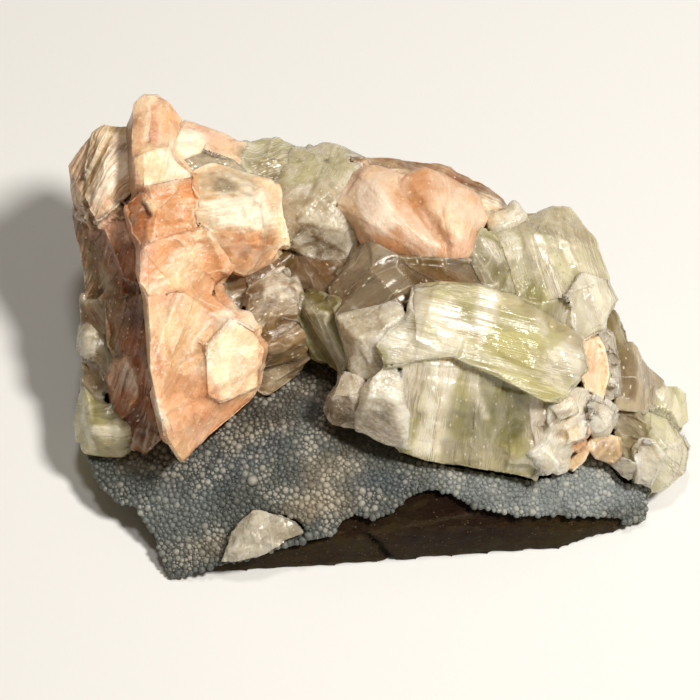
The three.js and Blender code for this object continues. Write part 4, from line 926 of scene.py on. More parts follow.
        ("ivory", 1, 0.25, (-0.09, -0.17), (28.8, 49.2, 30.1, 49, 32, 46.4, 30.8, 45.5)),
    ],
    "apophyllite_main_lower": [
        ("grey", 0.6, 0, (0, -0.1), (11.7, 26.3, 22.8, 24.9, 26.6, 23.5, 23.8, 19.3, 11.7, 22.2)),
        ("green", 0.7, 0, (0, 0), (14.5, 40.3, 18.2, 39.7, 18.7, 33.8, 19.8, 29.1, 13.5, 31.9)),
        ("deepGreen", 0.95, -0.15, (0, -0.1), (18.7, 39, 22.8, 38.6, 29, 32.9, 28.6, 28.2, 22.8, 24.5, 21, 29.1,
         18.7, 34.2)),
        ("olive", 0.6, -0.1, (0, -0.1), (13, 31.6, 19.5, 30.4, 21, 26.3, 14.5, 26, 12.4, 28.6)),
        ("lilac", 0.7, 0.1, (-0.1, 0.05), (5.1, 39, 9.4, 39.4, 7.9, 33.8, 6.1, 30.1, 5, 33.8)),
        # The ivory strip is a painted reflection, the bright pearly glare on this face.
        ("ivory", 1, 0.15, (0.3, 0.42), (9.8, 41.8, 13.9, 42.2, 15, 39, 13.1, 33.8, 11.7, 23.4, 8.9, 23, 6.3, 23.4,
         7.6, 28.2, 9.8, 33.8)),
        ("milk", 0.8, 0.1, (0.2, 0.35), (16.7, 39, 18, 38.6, 19.1, 34.7, 20.6, 30.1, 19.5, 29.7, 17.6, 33.8)),
        ("lilac", 0.9, 0.1, (0.15, 0), (27.9, 33.4, 31.4, 33.4, 32, 31.9, 30.5, 26.3, 27.7, 24.1, 28.8, 29.1)),
        ("milk", 0.8, 0.1, (0.25, 0.3), (5.1, 40.9, 9.8, 42, 9.8, 40.3, 5.7, 39.2)),
    ],
    "apophyllite_cube_large": [
        ("lilac", 0.8, 0, (-0.05, -0.12), (-3.2, 33.4, -1, 34.2, 2.3, 33.8, 4.6, 31.6, 4.9, 25.2, 1.4, 25.8,
         -3.6, 27.8, -4, 31)),
        ("ivory", 1, 0.15, (0.3, 0), (-1.4, 38.3, 1.4, 39.8, 4.9, 39.4, 5.1, 33.4, 3.8, 32.3, 0.9, 33.8,
         -1.8, 34.2)),
        ("smoke", 0.5, -0.1, (0, 0), (0.5, 31.9, 2.7, 31.9, 3.1, 29.7, 1.2, 29.3)),
    ],
    "apophyllite_cube_small": [
        ("grey", 0.8, 0.1, (0.05, 0.2), (-8.8, 37.9, -7, 39.4, -4, 38.2, -3, 35.2, -7, 34.5, -9.6, 34.9)),
        ("dusk", 0.8, -0.05, (-0.1, -0.15), (-10, 34.3, -6.6, 34.1, -3.2, 34.7, -4.2, 27.9, -8.8, 29.2,
         -10.5, 31.5)),
        ("smoke", 0.6, -0.1, (0, 0), (-7.9, 30.9, -5.1, 30.4, -4.7, 28.5, -7.3, 28.9)),
    ],
    "apophyllite_step": [
        ("paleGreen", 0.7, -0.05, (-0.2, -0.1), (-8.3, 49.1, -6, 44, -3.6, 39, -2.1, 37.5, -5.1, 38.6, -7, 43.1)),
        ("grey", 0.9, 0.15, (0, 0.15), (-7.9, 50, 1.2, 52.6, 5, 50.9, 1.2, 46.8, -3.6, 45, -6.2, 44)),
        ("lilac", 0.8, 0, (0, -0.1), (-3.6, 44.8, 0.5, 45.9, -0.3, 43.1, 1.6, 40.1, -0.6, 38.8, -2.9, 41.2)),
        # The next ivory mark is a painted glint on the step's top face.
        ("ivory", 0.9, 0.3, (0.1, 0.2), (0.7, 51.9, 2.7, 52.4, 4.8, 50.9, 2, 48.3, 0.3, 49.1)),
        ("ivory", 0.8, 0.2, (0.1, 0.1), (-3, 42.9, -2.1, 42.9, 0.1, 38.6, -0.6, 38.3)),
    ],
    "apophyllite_long": [
        ("deepGreen", 0.8, -0.1, (-0.1, -0.2), (-10.4, 50.3, -8.1, 49.1, -5.9, 43.1, -4.7, 38.6, -7, 39.7,
         -9.2, 45)),
        ("olive", 0.9, 0, (0, 0.05), (-14.7, 52.5, -12.3, 54.2, -7, 53.5, -4.5, 52.5, -7.9, 50.1, -10.8, 50.1,
         -14.1, 50.6)),
        ("olive", 0.7, -0.1, (-0.2, -0.1), (-14.5, 50.3, -11.1, 49.1, -8.9, 43.1, -7, 38.6, -10.4, 40.8,
         -13.8, 45.9)),
        ("milk", 0.6, 0.2, (0.1, 0.1), (-10.9, 50.6, -10.2, 50.4, -6.6, 41, -7.4, 41)),
    ],
    "apophyllite_smoky_upper": [
        ("dusk", 0.9, 0.15, (0.1, 0.15), (-6, 60.4, -3.6, 62.6, 0.2, 61.5, -2.1, 58.5, -5.7, 58.7)),
        ("smoke", 0.9, -0.05, (0, -0.15), (-7, 58.1, -2.1, 58.3, 2.4, 53.2, -1.3, 51.4, -6, 52.5, -8.1, 54.4)),
    ],
    "apophyllite_smoky_right": [
        ("grey", 0.5, 0.15, (0.1, 0.05), (-1, 61.1, 2.4, 59.6, 6.7, 54.3, 6.1, 52.3, 3.3, 53.2, -1.4, 58.8)),
        ("brown", 0.5, 0, (0, -0.1), (6.5, 57.7, 11.8, 59.6, 16.6, 58.1, 15.5, 55.5, 9.9, 54.7)),
    ],
    # The column's dusk and smoke bands are partly its own banding and partly painted shade, darkest on the steps that
    # face down.
    "stilbite_hollow_column": [
        ("dusk", 0.8, 0, (0.05, 0), (-23, 52.5, -16.4, 52.9, -15.3, 50.3, -21.7, 46.9, -23, 49.1)),
        ("milk", 0.6, 0.2, (-0.2, 0.05), (-21.7, 55.8, -19.8, 57.8, -16.8, 59, -15.7, 57.3, -16.8, 52.9,
         -19.3, 52.5, -21.7, 53.3)),
        ("smoke", 1, -0.2, (0, -0.2), (-22.1, 46.9, -14.5, 50.3, -13.8, 47.8, -20.6, 44, -22.1, 44.6)),
        ("dusk", 0.7, 0.15, (0.05, 0.1), (-21, 44, -14.5, 46.9, -14, 45, -19.3, 41.6)),
        ("smoke", 0.9, -0.2, (0, -0.15), (-22.1, 40.8, -14.5, 44.6, -14.5, 43.1, -21.7, 38.6)),
        ("dusk", 0.6, 0.1, (0.1, 0.1), (-22.1, 38.2, -14.5, 42, -13.4, 40.1, -17.4, 37.8, -21.7, 35.9)),
        ("dusk", 0.8, 0.1, (-0.1, 0.1), (-26.8, 52.5, -23, 53.3, -22.5, 50.7, -25.1, 51)),
    ],
    "apophyllite_right_cluster": [
        ("cream", 0.6, 0.1, (0, 0), (33.2, 30, 37, 30.9, 37.9, 26.3, 34.5, 25.3)),
        ("milk", 1, 0.3, (0.1, 0.1), (28.6, 23.5, 33.2, 26.3, 36, 26.3, 36.4, 23.5, 31.4, 18.8, 24.8, 20.3)),
        ("milk", 0.8, 0.2, (0.05, 0.15), (31.4, 30.9, 37, 33.7, 39.2, 33.7, 37.9, 29.1, 32.3, 27.8)),
        ("smoke", 0.5, -0.3, (0, 0), (31.9, 29.1, 33.4, 31.5, 36, 31.9, 35.3, 30)),
    ],
    "apophyllite_right_point": [
        ("smoke", 0.5, -0.1, (0, -0.2), (40.3, 33.7, 42.7, 34.1, 44, 31.9, 41.8, 30, 39.9, 30.9)),
        ("milk", 0.9, 0.2, (0.1, 0.2), (42.7, 34.3, 45.7, 31.9, 45.1, 30.4, 42.5, 29)),
    ],
    "stilbite_right_foot": [
        ("cream", 0.9, 0.2, (0.1, 0.1), (36.1, 20, 40.6, 25.1, 41.6, 24.2, 38, 19.1)),
        ("smoke", 0.6, 0, (0, 0), (40.6, 26.5, 45.9, 26.1, 45.9, 22.7, 41.8, 22.3)),
    ],
    "stilbite_right_patch": [
        ("ivory", 0.5, 0.1, (0.1, 0.1), (38.9, 45.4, 41.5, 46.1, 42.3, 43.1, 40, 42.7)),
    ],
    "apophyllite_edge_upper": [
        ("smoke", 0.6, -0.1, (-0.15, 0), (43.5, 51.5, 45.6, 50.7, 46.7, 43.1, 44.4, 44.1)),
    ],
    "apophyllite_edge_round": [
        ("grey", 0.8, 0.15, (0.1, 0.1), (49.3, 44.1, 52, 43.1, 53.1, 36.4, 50.1, 33.2, 49, 37.4)),
        ("smoke", 0.6, -0.1, (-0.2, 0), (45.5, 44.1, 48.6, 44.6, 49.3, 38.3, 49, 33.2, 46.3, 34)),
    ],
    "apophyllite_corner_round": [
        ("smoke", 0.75, -0.15, (-0.25, 0), (45.1, 27.9, 47.8, 31.7, 51, 32.1, 52.9, 27.9, 49.3, 25, 48.5, 22.7,
         46.3, 24.1)),
        ("paleGreen", 0.9, 0.1, (0.05, 0.15), (51, 32.8, 56.1, 31.1, 59.6, 26, 56.1, 24.1, 52, 26.7, 50.4, 29.8)),
        ("milk", 0.6, 0.1, (0.1, -0.05), (53.9, 24.5, 60, 26, 60.3, 20.3, 57.7, 16.1, 53.9, 15.1, 53.5, 20.3)),
        ("grey", 0.8, 0.25, (-0.1, 0), (48.7, 25, 51, 26.7, 52.9, 25, 53.5, 20.3, 52.3, 16.7, 50.3, 17,
         48.7, 21.2)),
        ("ivory", 0.8, 0.2, (0.1, 0.1), (55.4, 24.5, 59.6, 26.6, 59.6, 25.8, 55.6, 23.7)),
    ],
    "apophyllite_corner_tip": [
        ("milk", 0.7, 0.15, (0.1, 0.1), (53.2, 35.4, 56.1, 35.8, 58.4, 30.7, 57.3, 29.5, 54.2, 33.5)),
    ],
    "stilbite_golden_sheaf": [
        ("pink", 0.7, -0.05, (-0.1, 0), (-59.3, 81, -54.7, 82.9, -55.5, 79.1, -57, 72.1, -58.5, 73, -59.7, 77.2)),
        ("golden", 1, 0, (0, 0), (-53.2, 82.5, -50.2, 84, -51, 79.5, -54, 74.4, -55.5, 73.4, -54.4, 78.2)),
        ("silk", 0.85, 0.2, (0.1, 0.12), (-50.2, 83.7, -48.1, 84.6, -47.9, 77.2, -49.6, 74.4, -52.5, 71.1,
         -55.1, 71.5, -53.4, 74.4, -51, 79.1)),
        # The two brown grooves are partly brown streaks and partly painted shade between the blades.
        ("brown", 0.9, -0.5, (0, 0), (-54, 83.3, -53.3, 82.9, -54.7, 78.2, -56.2, 73.4, -56.8, 73.4, -55.5, 79.1)),
        ("brown", 0.6, -0.2, (0, 0), (-51.7, 83.1, -51.1, 83.3, -52.9, 78.2, -54.7, 74.4, -55.1, 74.7,
         -53.2, 79.1)),
        ("redBrown", 0.7, -0.1, (0, -0.2), (-59.3, 71.1, -56.3, 70.2, -54, 66.4, -57.6, 66.4)),
        ("rust", 0.7, -0.3, (0, 0), (-47.9, 84.8, -46.6, 82.9, -46.4, 71.5, -47.9, 71.1, -47.7, 77.2)),
    ],
    "stilbite_flank_upper": [
        ("rust", 0.7, 0, (0, 0), (-51.4, 63, -46.9, 62.1, -45.7, 54.5, -48.8, 52.6, -50.3, 58.3)),
        ("smoke", 0.8, 0, (-0.05, 0), (-56.3, 64, -52.6, 63, -51.6, 54.5, -54.5, 52.2, -56.3, 58.3)),
        ("grey", 0.7, 0.2, (0.1, 0.1), (-53.3, 59.8, -51.8, 58.3, -49.1, 52.6, -50.3, 52.2, -52.6, 55.4)),
        ("pink", 0.9, 0.25, (0.15, 0.2), (-52.2, 69.3, -50.3, 70.2, -47.2, 66.3, -46.7, 63.2, -49.1, 64,
         -51.4, 66.3)),
        ("pink", 0.6, 0.15, (0.1, 0.1), (-56.3, 67.4, -54.1, 68.2, -52.9, 65.5, -55.6, 64.4)),
    ],
    "stilbite_flank_lower": [
        ("rust", 0.8, 0, (0, 0), (-50.1, 46.9, -45.7, 46.9, -43.3, 37.4, -42.9, 29.5, -46.7, 33.3, -48.5, 41.2)),
        ("smoke", 0.5, 0.1, (0.1, 0.1), (-51.4, 52.5, -49.5, 53.3, -47.4, 46.9, -48.9, 43.7, -50.8, 47.8)),
        ("olive", 0.6, 0, (0, 0), (-53.1, 44, -50.8, 45, -49.7, 33.7, -51.6, 33.3)),
    ],
    "stilbite_lens": [
        ("rust", 0.9, -0.1, (0, 0), (-50.1, 38.4, -48.2, 39.1, -47.5, 34.6, -47.8, 31.6, -49.9, 33.3)),
        ("silk", 0.8, 0.2, (0.1, 0.2), (-49, 40.8, -47.1, 41.8, -45.8, 38.4, -46, 34.2, -47.7, 36.3)),
    ],
    "apophyllite_left_foot": [
        ("deepGreen", 0.8, -0.1, (0, 0), (-54.5, 34.5, -50.4, 33.2, -46.7, 28.3, -54.2, 29)),
        ("smoke", 0.6, 0, (0, -0.1), (-54.2, 26.7, -46.7, 26.7, -46.4, 23.7, -52.6, 23.3)),
        ("milk", 0.8, 0.15, (0, 0.2), (-54.5, 28.6, -47.7, 28.3, -46.7, 26.9, -54.2, 27.1)),
        ("milk", 0.9, 0.15, (0, 0), (-56.3, 34, -55.3, 33.2, -55.5, 30.2, -54.2, 26.9, -53, 24.7, -54.5, 24.7,
         -56.6, 29.8)),
    ],
    "apophyllite_bud": [
        ("milk", 0.6, 0.1, (-0.1, 0.1), (-56.6, 46, -54.4, 46.7, -53.6, 44.1, -55.1, 41.2, -56.6, 42.1)),
    ],
    "apophyllite_flank_grey": [
        ("brown", 0.8, 0.1, (0, 0), (-56, 51.1, -53.1, 51.7, -52.2, 48.8, -54.3, 47.1, -56, 48.4)),
    ],
    "apophyllite_front_clear": [
        ("grey", 0.8, 0, (0, 0.2), (-20.1, 11.2, -15.2, 11.2, -14.1, 8, -19.2, 5.5)),
        # The ivory and silk marks are painted highlights on the clear crystal's facets.
        ("ivory", 1, 0.3, (0.03, 0.55), (-23.1, 12.8, -21.6, 11.7, -20.5, 8.3, -23, 6.5, -23.9, 9.3)),
        ("ivory", 0.9, 0.2, (0.03, 0.5), (-28.4, 6.3, -23.9, 7.8, -23.5, 5.7, -28, 4)),
        ("silk", 1, 0.25, (0.03, 0.6), (-27, 5.6, -26.1, 6, -25.7, 4.5, -26.8, 4.3)),
        ("silk", 1, 0.25, (0.05, 0.62), (-22.8, 12, -22.3, 11.7, -22.6, 8.6, -23.2, 8.9)),
    ],
    "basalt_matrix": [
        # The dark rock red mark is partly the rock's red-brown and partly painted shade in the recess; the near-black
        # cleft mark is painted shade in a crack.
        ("rockRedInShade", 1, 0, (0, 0), (-6.1, 8.4, -0.9, 10.9, 8.3, 16.7, 12.1, 17.6, 17.9, 15.3, 25, 10.3, 17.9, 11.9,
         8.3, 10.3, -2.2, 8.4)),
        ("beige", 0.16, 0.1, (0, 0), (-2.2, 8.8, 8.3, 10.7, 19, 12.6, 19, 12.2, 8.3, 10.1, -2.2, 8.1)),
        ("cleft", 1, -0.8, (0, 0), (-2.8, 8.8, -2, 9, 3.1, 3.5, 4.9, 2.3, 2.2, 2.3)),
    ],
}


def faceTree(nodes):  # a search tree of these nodes' faces
    points, faces = [], []
    for node in nodes:
        start = len(points)
        mesh = frame["nodes"][node].data
        points.extend(v.co.copy() for v in mesh.vertices)
        faces.extend([start + i for i in p.vertices] for p in mesh.polygons)
    return BVHTree.FromPolygons(points, faces)


# Growth lines run along x of the grain; in a fan they spread from one point.
def grainOf(placed, look):
    if "fan" in look:
        right, up = placed[:, 0] - look["fan"][0], placed[:, 1] - look["fan"][1]
        return np.stack((np.hypot(right, up), np.arctan2(up, right) * 16, placed[:, 2]), 1)
    turn = math.radians(look["striae"])
    along = (math.cos(turn), math.sin(turn), 0.0)
    across = (-math.sin(turn), math.cos(turn), 0.0)
    return placed @ np.array((along, across, (0.0, 0.0, 1.0))).T


# Nodes of one mineral that grew together into one mass, and how wide a cleft between them closes, in mm.
masses = {
    "stilbite_fin": (1.1, ["stilbite_fin_crest", "stilbite_fin_shoulder", "stilbite_fin_middle",
                           "stilbite_fin_foot"]),
    "stilbite_flank": (0.8, ["stilbite_flank_upper", "stilbite_flank_lower", "stilbite_lens"]),
    "apophyllite_main": (0.5, ["apophyllite_main_upper", "apophyllite_main_lower"]),
    "apophyllite_smoky": (0.7, ["apophyllite_smoky_upper", "apophyllite_smoky_right", "apophyllite_hollow_right",
                                "apophyllite_hollow_left"]),
    "apophyllite_edge": (0.6, ["apophyllite_edge_upper", "apophyllite_edge_round"]),
    "apophyllite_corner": (0.6, ["apophyllite_corner_round", "apophyllite_corner_tip"]),
    "apophyllite_right": (0.5, ["apophyllite_right_cluster", "apophyllite_right_point"]),
    "stilbite_right": (0.5, ["stilbite_right_patch", "stilbite_right_blade"]),
    "stilbite_hollow": (0.7, ["stilbite_hollow_column", "stilbite_hollow_ledge"]),
}
gathered = {node for closing, nodes in masses.values() for node in nodes}
masses.update({node: (0.0, [node]) for node in crystals if node not in gathered})


growthSetup = {
    "warpSize": 8.0, "warp": 0.6, "inner": 0.6, "swellSize": 6.0, "roughSize": 1.2, "lift": 0.05,
    "touch": (0.1, 0.55), "fade": 1.1, "start": 0.2, "least": 0.4, "share": 0.12, "rounds": 36,
    "relief": (-1.1, 0.16), "front": (0.05, 0.4), "apart": 13.7,
}


# For each point: which of these nodes it belongs to, and how far in mm and which way its nearest neighbour is.
def surroundings(points, nodes, reach):
    others = faceTree([other for other in crystals if other not in nodes])
    own = [faceTree([node]) for node in nodes]
    member = np.zeros(len(points), int)
    gap = np.full(len(points), reach)
    toward = np.zeros((len(points), 3))
    for i, p in enumerate(points.tolist()):
        at, normal, index, far = others.find_nearest(p, reach * mm)
        if at is not None:
            gap[i] = far / mm
            toward[i] = (at - Vector(p)).normalized()
        if len(own) > 1:
            member[i] = min(range(len(own)), key=lambda k: own[k].find_nearest(p)[3])
    return member, gap, toward


# One node's relief in mm, with its ledges along the growth lines, its slanting faces and its fine swell.
def nodeRelief(spot, lines, look, seed):
    warp = softNoise(spot, growthSetup["warpSize"]) * growthSetup["warp"]
    axes = [np.linalg.lstsq(spot, lines[:, i], rcond=None)[0] for i in range(3)] if look["cut"] else None
    relief = -look["ledge"] * ledges(lines[:, 1] + warp, *look["strips"], seed)
    relief -= look["ledge"] * growthSetup["inner"] * ledges(lines[:, 2] + warp, *look["strips"], seed + 1)
    relief += slants(spot, look["slants"], look["drop"], seed + 2, axes)
    swell = look["swell"] * softNoise(spot, growthSetup["swellSize"])
    return relief + (swell + look["rough"] * softNoise(spot, growthSetup["roughSize"], 2) + growthSetup["lift"])


# A mass of crystals with its growth: relief, chipped edges, and clefts closed toward the neighbours.
def growCrystals(name, closing, nodes):
    look = crystals[nodes[0]]
    piece = fineCopy(name + "_grown", nodes, look["cell"], closing, look.get("blur", 0))
    mesh = piece.data
    soften(mesh, look["soften"])
    points, normals = pointsOf(mesh), normalsOf(mesh)
    placed = toSlope(points)
    total = len(points)
    seed = sum(ord(letter) * (i + 1) for i, letter in enumerate(name)) % 977
    reach, fill = look["reach"], look["fill"]
    member, gap, toward = surroundings(points, nodes, reach)
    touch = smoothStep((toward * normals).sum(1), *growthSetup["touch"])
    touch *= 1 - smoothStep(gap, reach - growthSetup["fade"], reach)
    size = np.sort(placed.max(0) - placed.min(0))[1]
    most = growthSetup["least"] + growthSetup["share"] * fill * size
    push = np.minimum(gap * fill + growthSetup["start"], most)
    chips = chipped(points, normals, edgeMeasure(mesh, points), int(look["chips"] * min(1.5, size / 14)),
                    look["chipDepth"] * min(1, 0.3 + size / 20), look["chipReach"], seed)
    relief, raised = np.zeros(total), np.zeros(total)
    grain, colour, lean = (np.zeros((total, 3)) for i in range(3))
    for k, node in enumerate(nodes):
        here = member == k
        if not here.any():
            continue
        own, spot = crystals[node], placed[here]
        lines = grainOf(spot, own)
        relief[here] = nodeRelief(spot, lines, own, seed + k)
        tone = stained(spot, own["colour"], own["stains"], seed + k)
        raised[here], lean[here] = marked(spot, tone, markings.get(node, []), seed + k, own["soft"])
        grain[here], colour[here] = lines + growthSetup["apart"] * k, tone
    front = smoothStep(normals @ slopeOut, *growthSetup["front"])
    relief = np.clip(relief, *growthSetup["relief"]) * (1 - touch) + raised * front + look["growth"]
    moved = points + (chips - points) * (1 - touch)[:, None] + normals * relief[:, None] * mm
    closer = blurred(mesh, toward * (push * touch)[:, None], growthSetup["rounds"])
    moved = movePoints(mesh, moved + closer * mm)
    keep(mesh, "grain", grain + seed % 97)
    keep(mesh, "edge", edgeMeasure(mesh, moved))
    keep(mesh, "bodyColour", blurred(mesh, colour, 3))
    keep(mesh, "lean", blurred(mesh, lean * front[:, None], 3))
    slot = slotOf[nodes[0]]
    dress(piece, ownFinishes.get(nodes[0], finishes[slot]), slot, *nodes)
    return sum(len(p.vertices) - 2 for p in mesh.polygons)


slotOf = {entry["node"]: entry["material_slot"] for entry in frame["record"]["subparts"]}
triangles = [growCrystals(name, *mass) for name, mass in masses.items()]
print("crystals grown", sum(triangles), "triangles, the largest", max(triangles))


rockSetup = {
    "cell": 0.62, "base": -0.3, "lump": 0.4, "lumpSize": 7.0, "grit": 0.22, "gritSize": 1.8, "relief": (-1.2, 0.05),
    "chips": 160, "chipDepth": 1.6, "chipReach": 10, "wear": 26, "worn": (0.15, -0.2), "smooth": 0.6,
    "scars": 110, "scarLean": 0.2, "scarSpread": 45, "scarStarts": (0.4, 2.2), "scarDepth": 2.4,
    "body": [("rockOlive", 20, 40, 40, 30, 0.5), ("umber", -30, 20, 25, 20, 0.3)],
    # The dark rock red stain is partly the rock's red-brown and partly painted shade in the recess under the crust's
    # lip.
    "front": [("rockRedInShade", 10, 12, 22, 7, 0.9, -8), ("rockOlive", 30, 2, 30, 6, 0.6, 8),
              ("cavity", -14, 57, 16, 12, 1.0), ("cavity", 10, 62, 30, 12, 0.8), ("redBrown", -48, 55, 8, 25, 0.9)],
    "pit": (0.006, 0.004, 0.002, 1),
}


# Shallow scars with sharp edges between them, below 0 in mm.
def scarsOf(placed, setup):
    pick = random.Random(setup["scars"])
    scars = np.zeros(len(placed))
    for i in range(setup["scars"]):
        away = placed - placed[pick.randrange(len(placed))]
        tilted = np.array([pick.gauss(0, setup["scarLean"]) for axis in range(3)])
        bowl = (away ** 2).sum(1) / setup["scarSpread"]
        scars = np.minimum(scars, bowl + away @ tilted - pick.uniform(*setup["scarStarts"]))
    return np.maximum(scars, -setup["scarDepth"])


# The rock broke off in scars at the sides and the back; its underside stays flat.
def breakRock(setup):
    piece = fineCopy("basalt_broken", ["basalt_matrix"], setup["cell"])
    mesh = piece.data
    points, normals = pointsOf(mesh), normalsOf(mesh)
    worn = smoothStep(normals @ slopeOut, *setup["worn"])[:, None]
    points = movePoints(mesh, points + (blurred(mesh, points, setup["wear"]) - points) * worn)
    normals += (blurred(mesh, normalsOf(mesh), 8) - normals) * worn
    placed = toSlope(points)
    chips = chipped(points, normals, edgeMeasure(mesh, points), setup["chips"], setup["chipDepth"],
                    setup["chipReach"], 3)
    relief = setup["base"] + setup["lump"] * softNoise(placed, setup["lumpSize"], 3)
    relief = np.clip(relief + setup["grit"] * softNoise(placed, setup["gritSize"], 2), *setup["relief"])
    broken = smoothStep(normals @ slopeOut, *setup["worn"]) * smoothStep(normals[:, 2], -0.9, -0.5)
    scars = scarsOf(placed, setup) + 0.3 * softNoise(placed, 2.6, 2)
    relief = blurred(mesh, (relief * (1 - setup["smooth"] * broken) + broken * scars)[:, None], 1)[:, 0]
    colour = stained(placed, "rock", setup["body"], 5)
    front = smoothStep(normals @ slopeOut, 0.0, 0.4)[:, None]
    colour += (stained(placed, "rock", setup["front"], 3) - colour) * front
    raised = marked(placed, colour, markings["basalt_matrix"], 3)[0]
    moved = movePoints(mesh, chips + normals * (relief + raised)[:, None] * mm)
    keep(mesh, "grain", placed)
    keep(mesh, "edge", edgeMeasure(mesh, moved))
    keep(mesh, "bodyColour", colour)
    dress(piece, rockFinish(setup), "basalt", "basalt_matrix")


def rockFinish(setup):
    material, tree, shader, colour, place = newMaterial("basalt")
    grain = kept(tree, "grain")
    wear = useGroup(tree, "wear", {"Edge": kept(tree, "edge", "Fac"), "Place": place})
    veils = useGroup(tree, "veils", {"Place": place, "Size": 9.0})
    lines = useGroup(tree, "lines", {"Grain": grain, "Spacing": 0.5, "Stretch": 14.0})
    flat = vector(tree, "MULTIPLY", grain, (0.45, 1.0, 1.0))
    grit = noisy(tree, flat, 3.2, 7.0, 0.75)[0]
    pit = times(tree, ramp(tree, cells(tree, flat, 1.5)[0], 0.3, 0.12), ramp(tree, veils["Deep"], 0.0, 1.0, 0.3, 1.0))
    tone = scaled(tree, colour, ramp(tree, grit, 0.32, 0.68, 0.3, 2.1))
    tone = blend(tree, times(tree, times(tree, lines["Lines"], lines["Bands"]), 0.03), tone, rgba("beige"))
    # pale edges on the rock: partly worn, partly painted highlight
    tone = blend(tree, times(tree, wear["Ridge"], 0.3), tone, rgba("beige"))
    # painted shade: pits and clefts on the rock darkened to near black
    hollow = calc(tree, "MAXIMUM", pit, times(tree, wear["CleftShade"], 0.6))
    tone = blend(tree, hollow, tone, setup["pit"])
    flakes = cells(tree, flat, 0.7, distance="CHEBYCHEV")["Color"]
    flake = add(tree, "SeparateXYZ", {0: flakes}).outputs[0]
    # painted glints: small light specks on the rock
    tone = blend(tree, times(tree, veils["PaintedGlint"], 0.4), tone, rgba("beige"))
    tone = blend(tree, times(tree, flake, veils["Cloud"]), tone, rgba("rockOlive"))
    height = calc(tree, "SUBTRACT", times(tree, grit, 0.8), times(tree, pit, 0.5))
    height = calc(tree, "ADD", height, times(tree, flake, 0.12))
    plug(tree, shader, {"Base Color": tone, "Roughness": ramp(tree, grit, 0.3, 0.7, 0.5, 0.85),
                        "Normal": bumped(tree, height), "Specular IOR Level": 0.14})
    return material


breakRock(rockSetup)
print("rock broken")

crustSetup = {
    "cell": 0.42, "sink": 0.16, "thin": 1.1, "lone": (-23.5, 18.4), "loneSize": 1.25, "large": (0.45, 0.95),
    "small": (0.25, 0.45), "crowding": 0.66, "tries": 60000, "seed": 11,
    "left": -56, "right": 58, "front": -4, "back": 50, "above": 20,
    # The umber stains are painted shadow beneath the crystals.
    "stains": [("beige", -9, 18, 8, 7, 0.45, 30), ("beige", -14, 13, 5, 3, 0.45, 20),
               ("umber", -22, 30, 9, 5, 0.6, 30), ("umber", -11, 37, 7, 5, 0.8), ("beige", -46, 24, 5, 4, 0.5),
               ("umber", -37, 31, 7, 3, 0.6), ("umber", 3, 26, 9, 2, 0.7, -25), ("umber", -7, 27, 6, 4, 0.5, -40),
               ("umber", -44, 31, 7, 4, 0.7), ("blueDeep", -30, 19, 7, 5, 0.5, 20),
               ("blueDeep", -22, 24, 6, 3, 0.6, 30), ("blueDeep", 0, 18, 8, 3, 0.6), ("beige", -30, 6, 8, 3, 0.3),
               ("paleBlue", 24, 16, 14, 4, 0.6, -12), ("paleBlue", 40, 17, 12, 6, 0.9),
               ("paleBlue", -38, 12, 9, 6, 0.35)],
}


def crustColour(placed, setup):
    return stained(placed, "blueGrey", setup["stains"], setup["seed"])


def crustFinish():
    material, tree, shader, colour, place = newMaterial("chalcedony")
    tip, ballTone = kept(tree, "tip", "Fac"), kept(tree, "tone", "Fac")
    mottle = noisy(tree, place, 1.2, 4.0)[0]
    shade = times(tree, ramp(tree, mottle, 0.3, 0.7, 0.8, 1.2), ramp(tree, ballTone, 0, 1, 0.85, 1.18))
    # The balls' tops are pale, partly frosted tips and partly painted highlight; their low parts turn umber as painted
    # shade between the balls.
    paleSheen = times(tree, ramp(tree, tip, 0.4, 1.0), ramp(tree, ballTone, 0.3, 1.0, 0.02, 0.3))
    tone = blend(tree, paleSheen, scaled(tree, colour, shade), rgba("milk"))
    tone = blend(tree, ramp(tree, tip, 0.3, 0.0, 0.0, 0.3), tone, rgba("umber"))
    plug(tree, shader, {"Base Color": tone, "Roughness": ramp(tree, mottle, 0.35, 0.65, 0.42, 0.68),
                        "Normal": bumped(tree, times(tree, mottle, 0.12)), "IOR": 1.5, "Subsurface Weight": 0.4,
                        "Subsurface Radius": (0.8, 0.9, 1.0), "Subsurface Scale": 1.6 * mm})
    return material


# The skin under the balls.
def crustSheet(setup, finish):
    piece = fineCopy("chalcedony_sheet", ["chalcedony_crust"], setup["cell"])
    mesh = piece.data
    points, normals = pointsOf(mesh), normalsOf(mesh)
    placed = toSlope(points)
    facing = normals @ slopeOut
    relief = -setup["sink"] * smoothStep(facing, 0.2, 0.7) + 0.1 * softNoise(placed, 1.5, 2)
    movePoints(mesh, points + normals * relief[:, None] * mm)
    side = 1 - smoothStep(facing, 0.0, 0.5)
    keep(mesh, "tip", 0.3 + 0.7 * side)
    keep(mesh, "tone", 0.3 + 0.7 * side)
    keep(mesh, "bodyColour", crustColour(placed, setup))
    dress(piece, finish, "chalcedony", "chalcedony_crust")


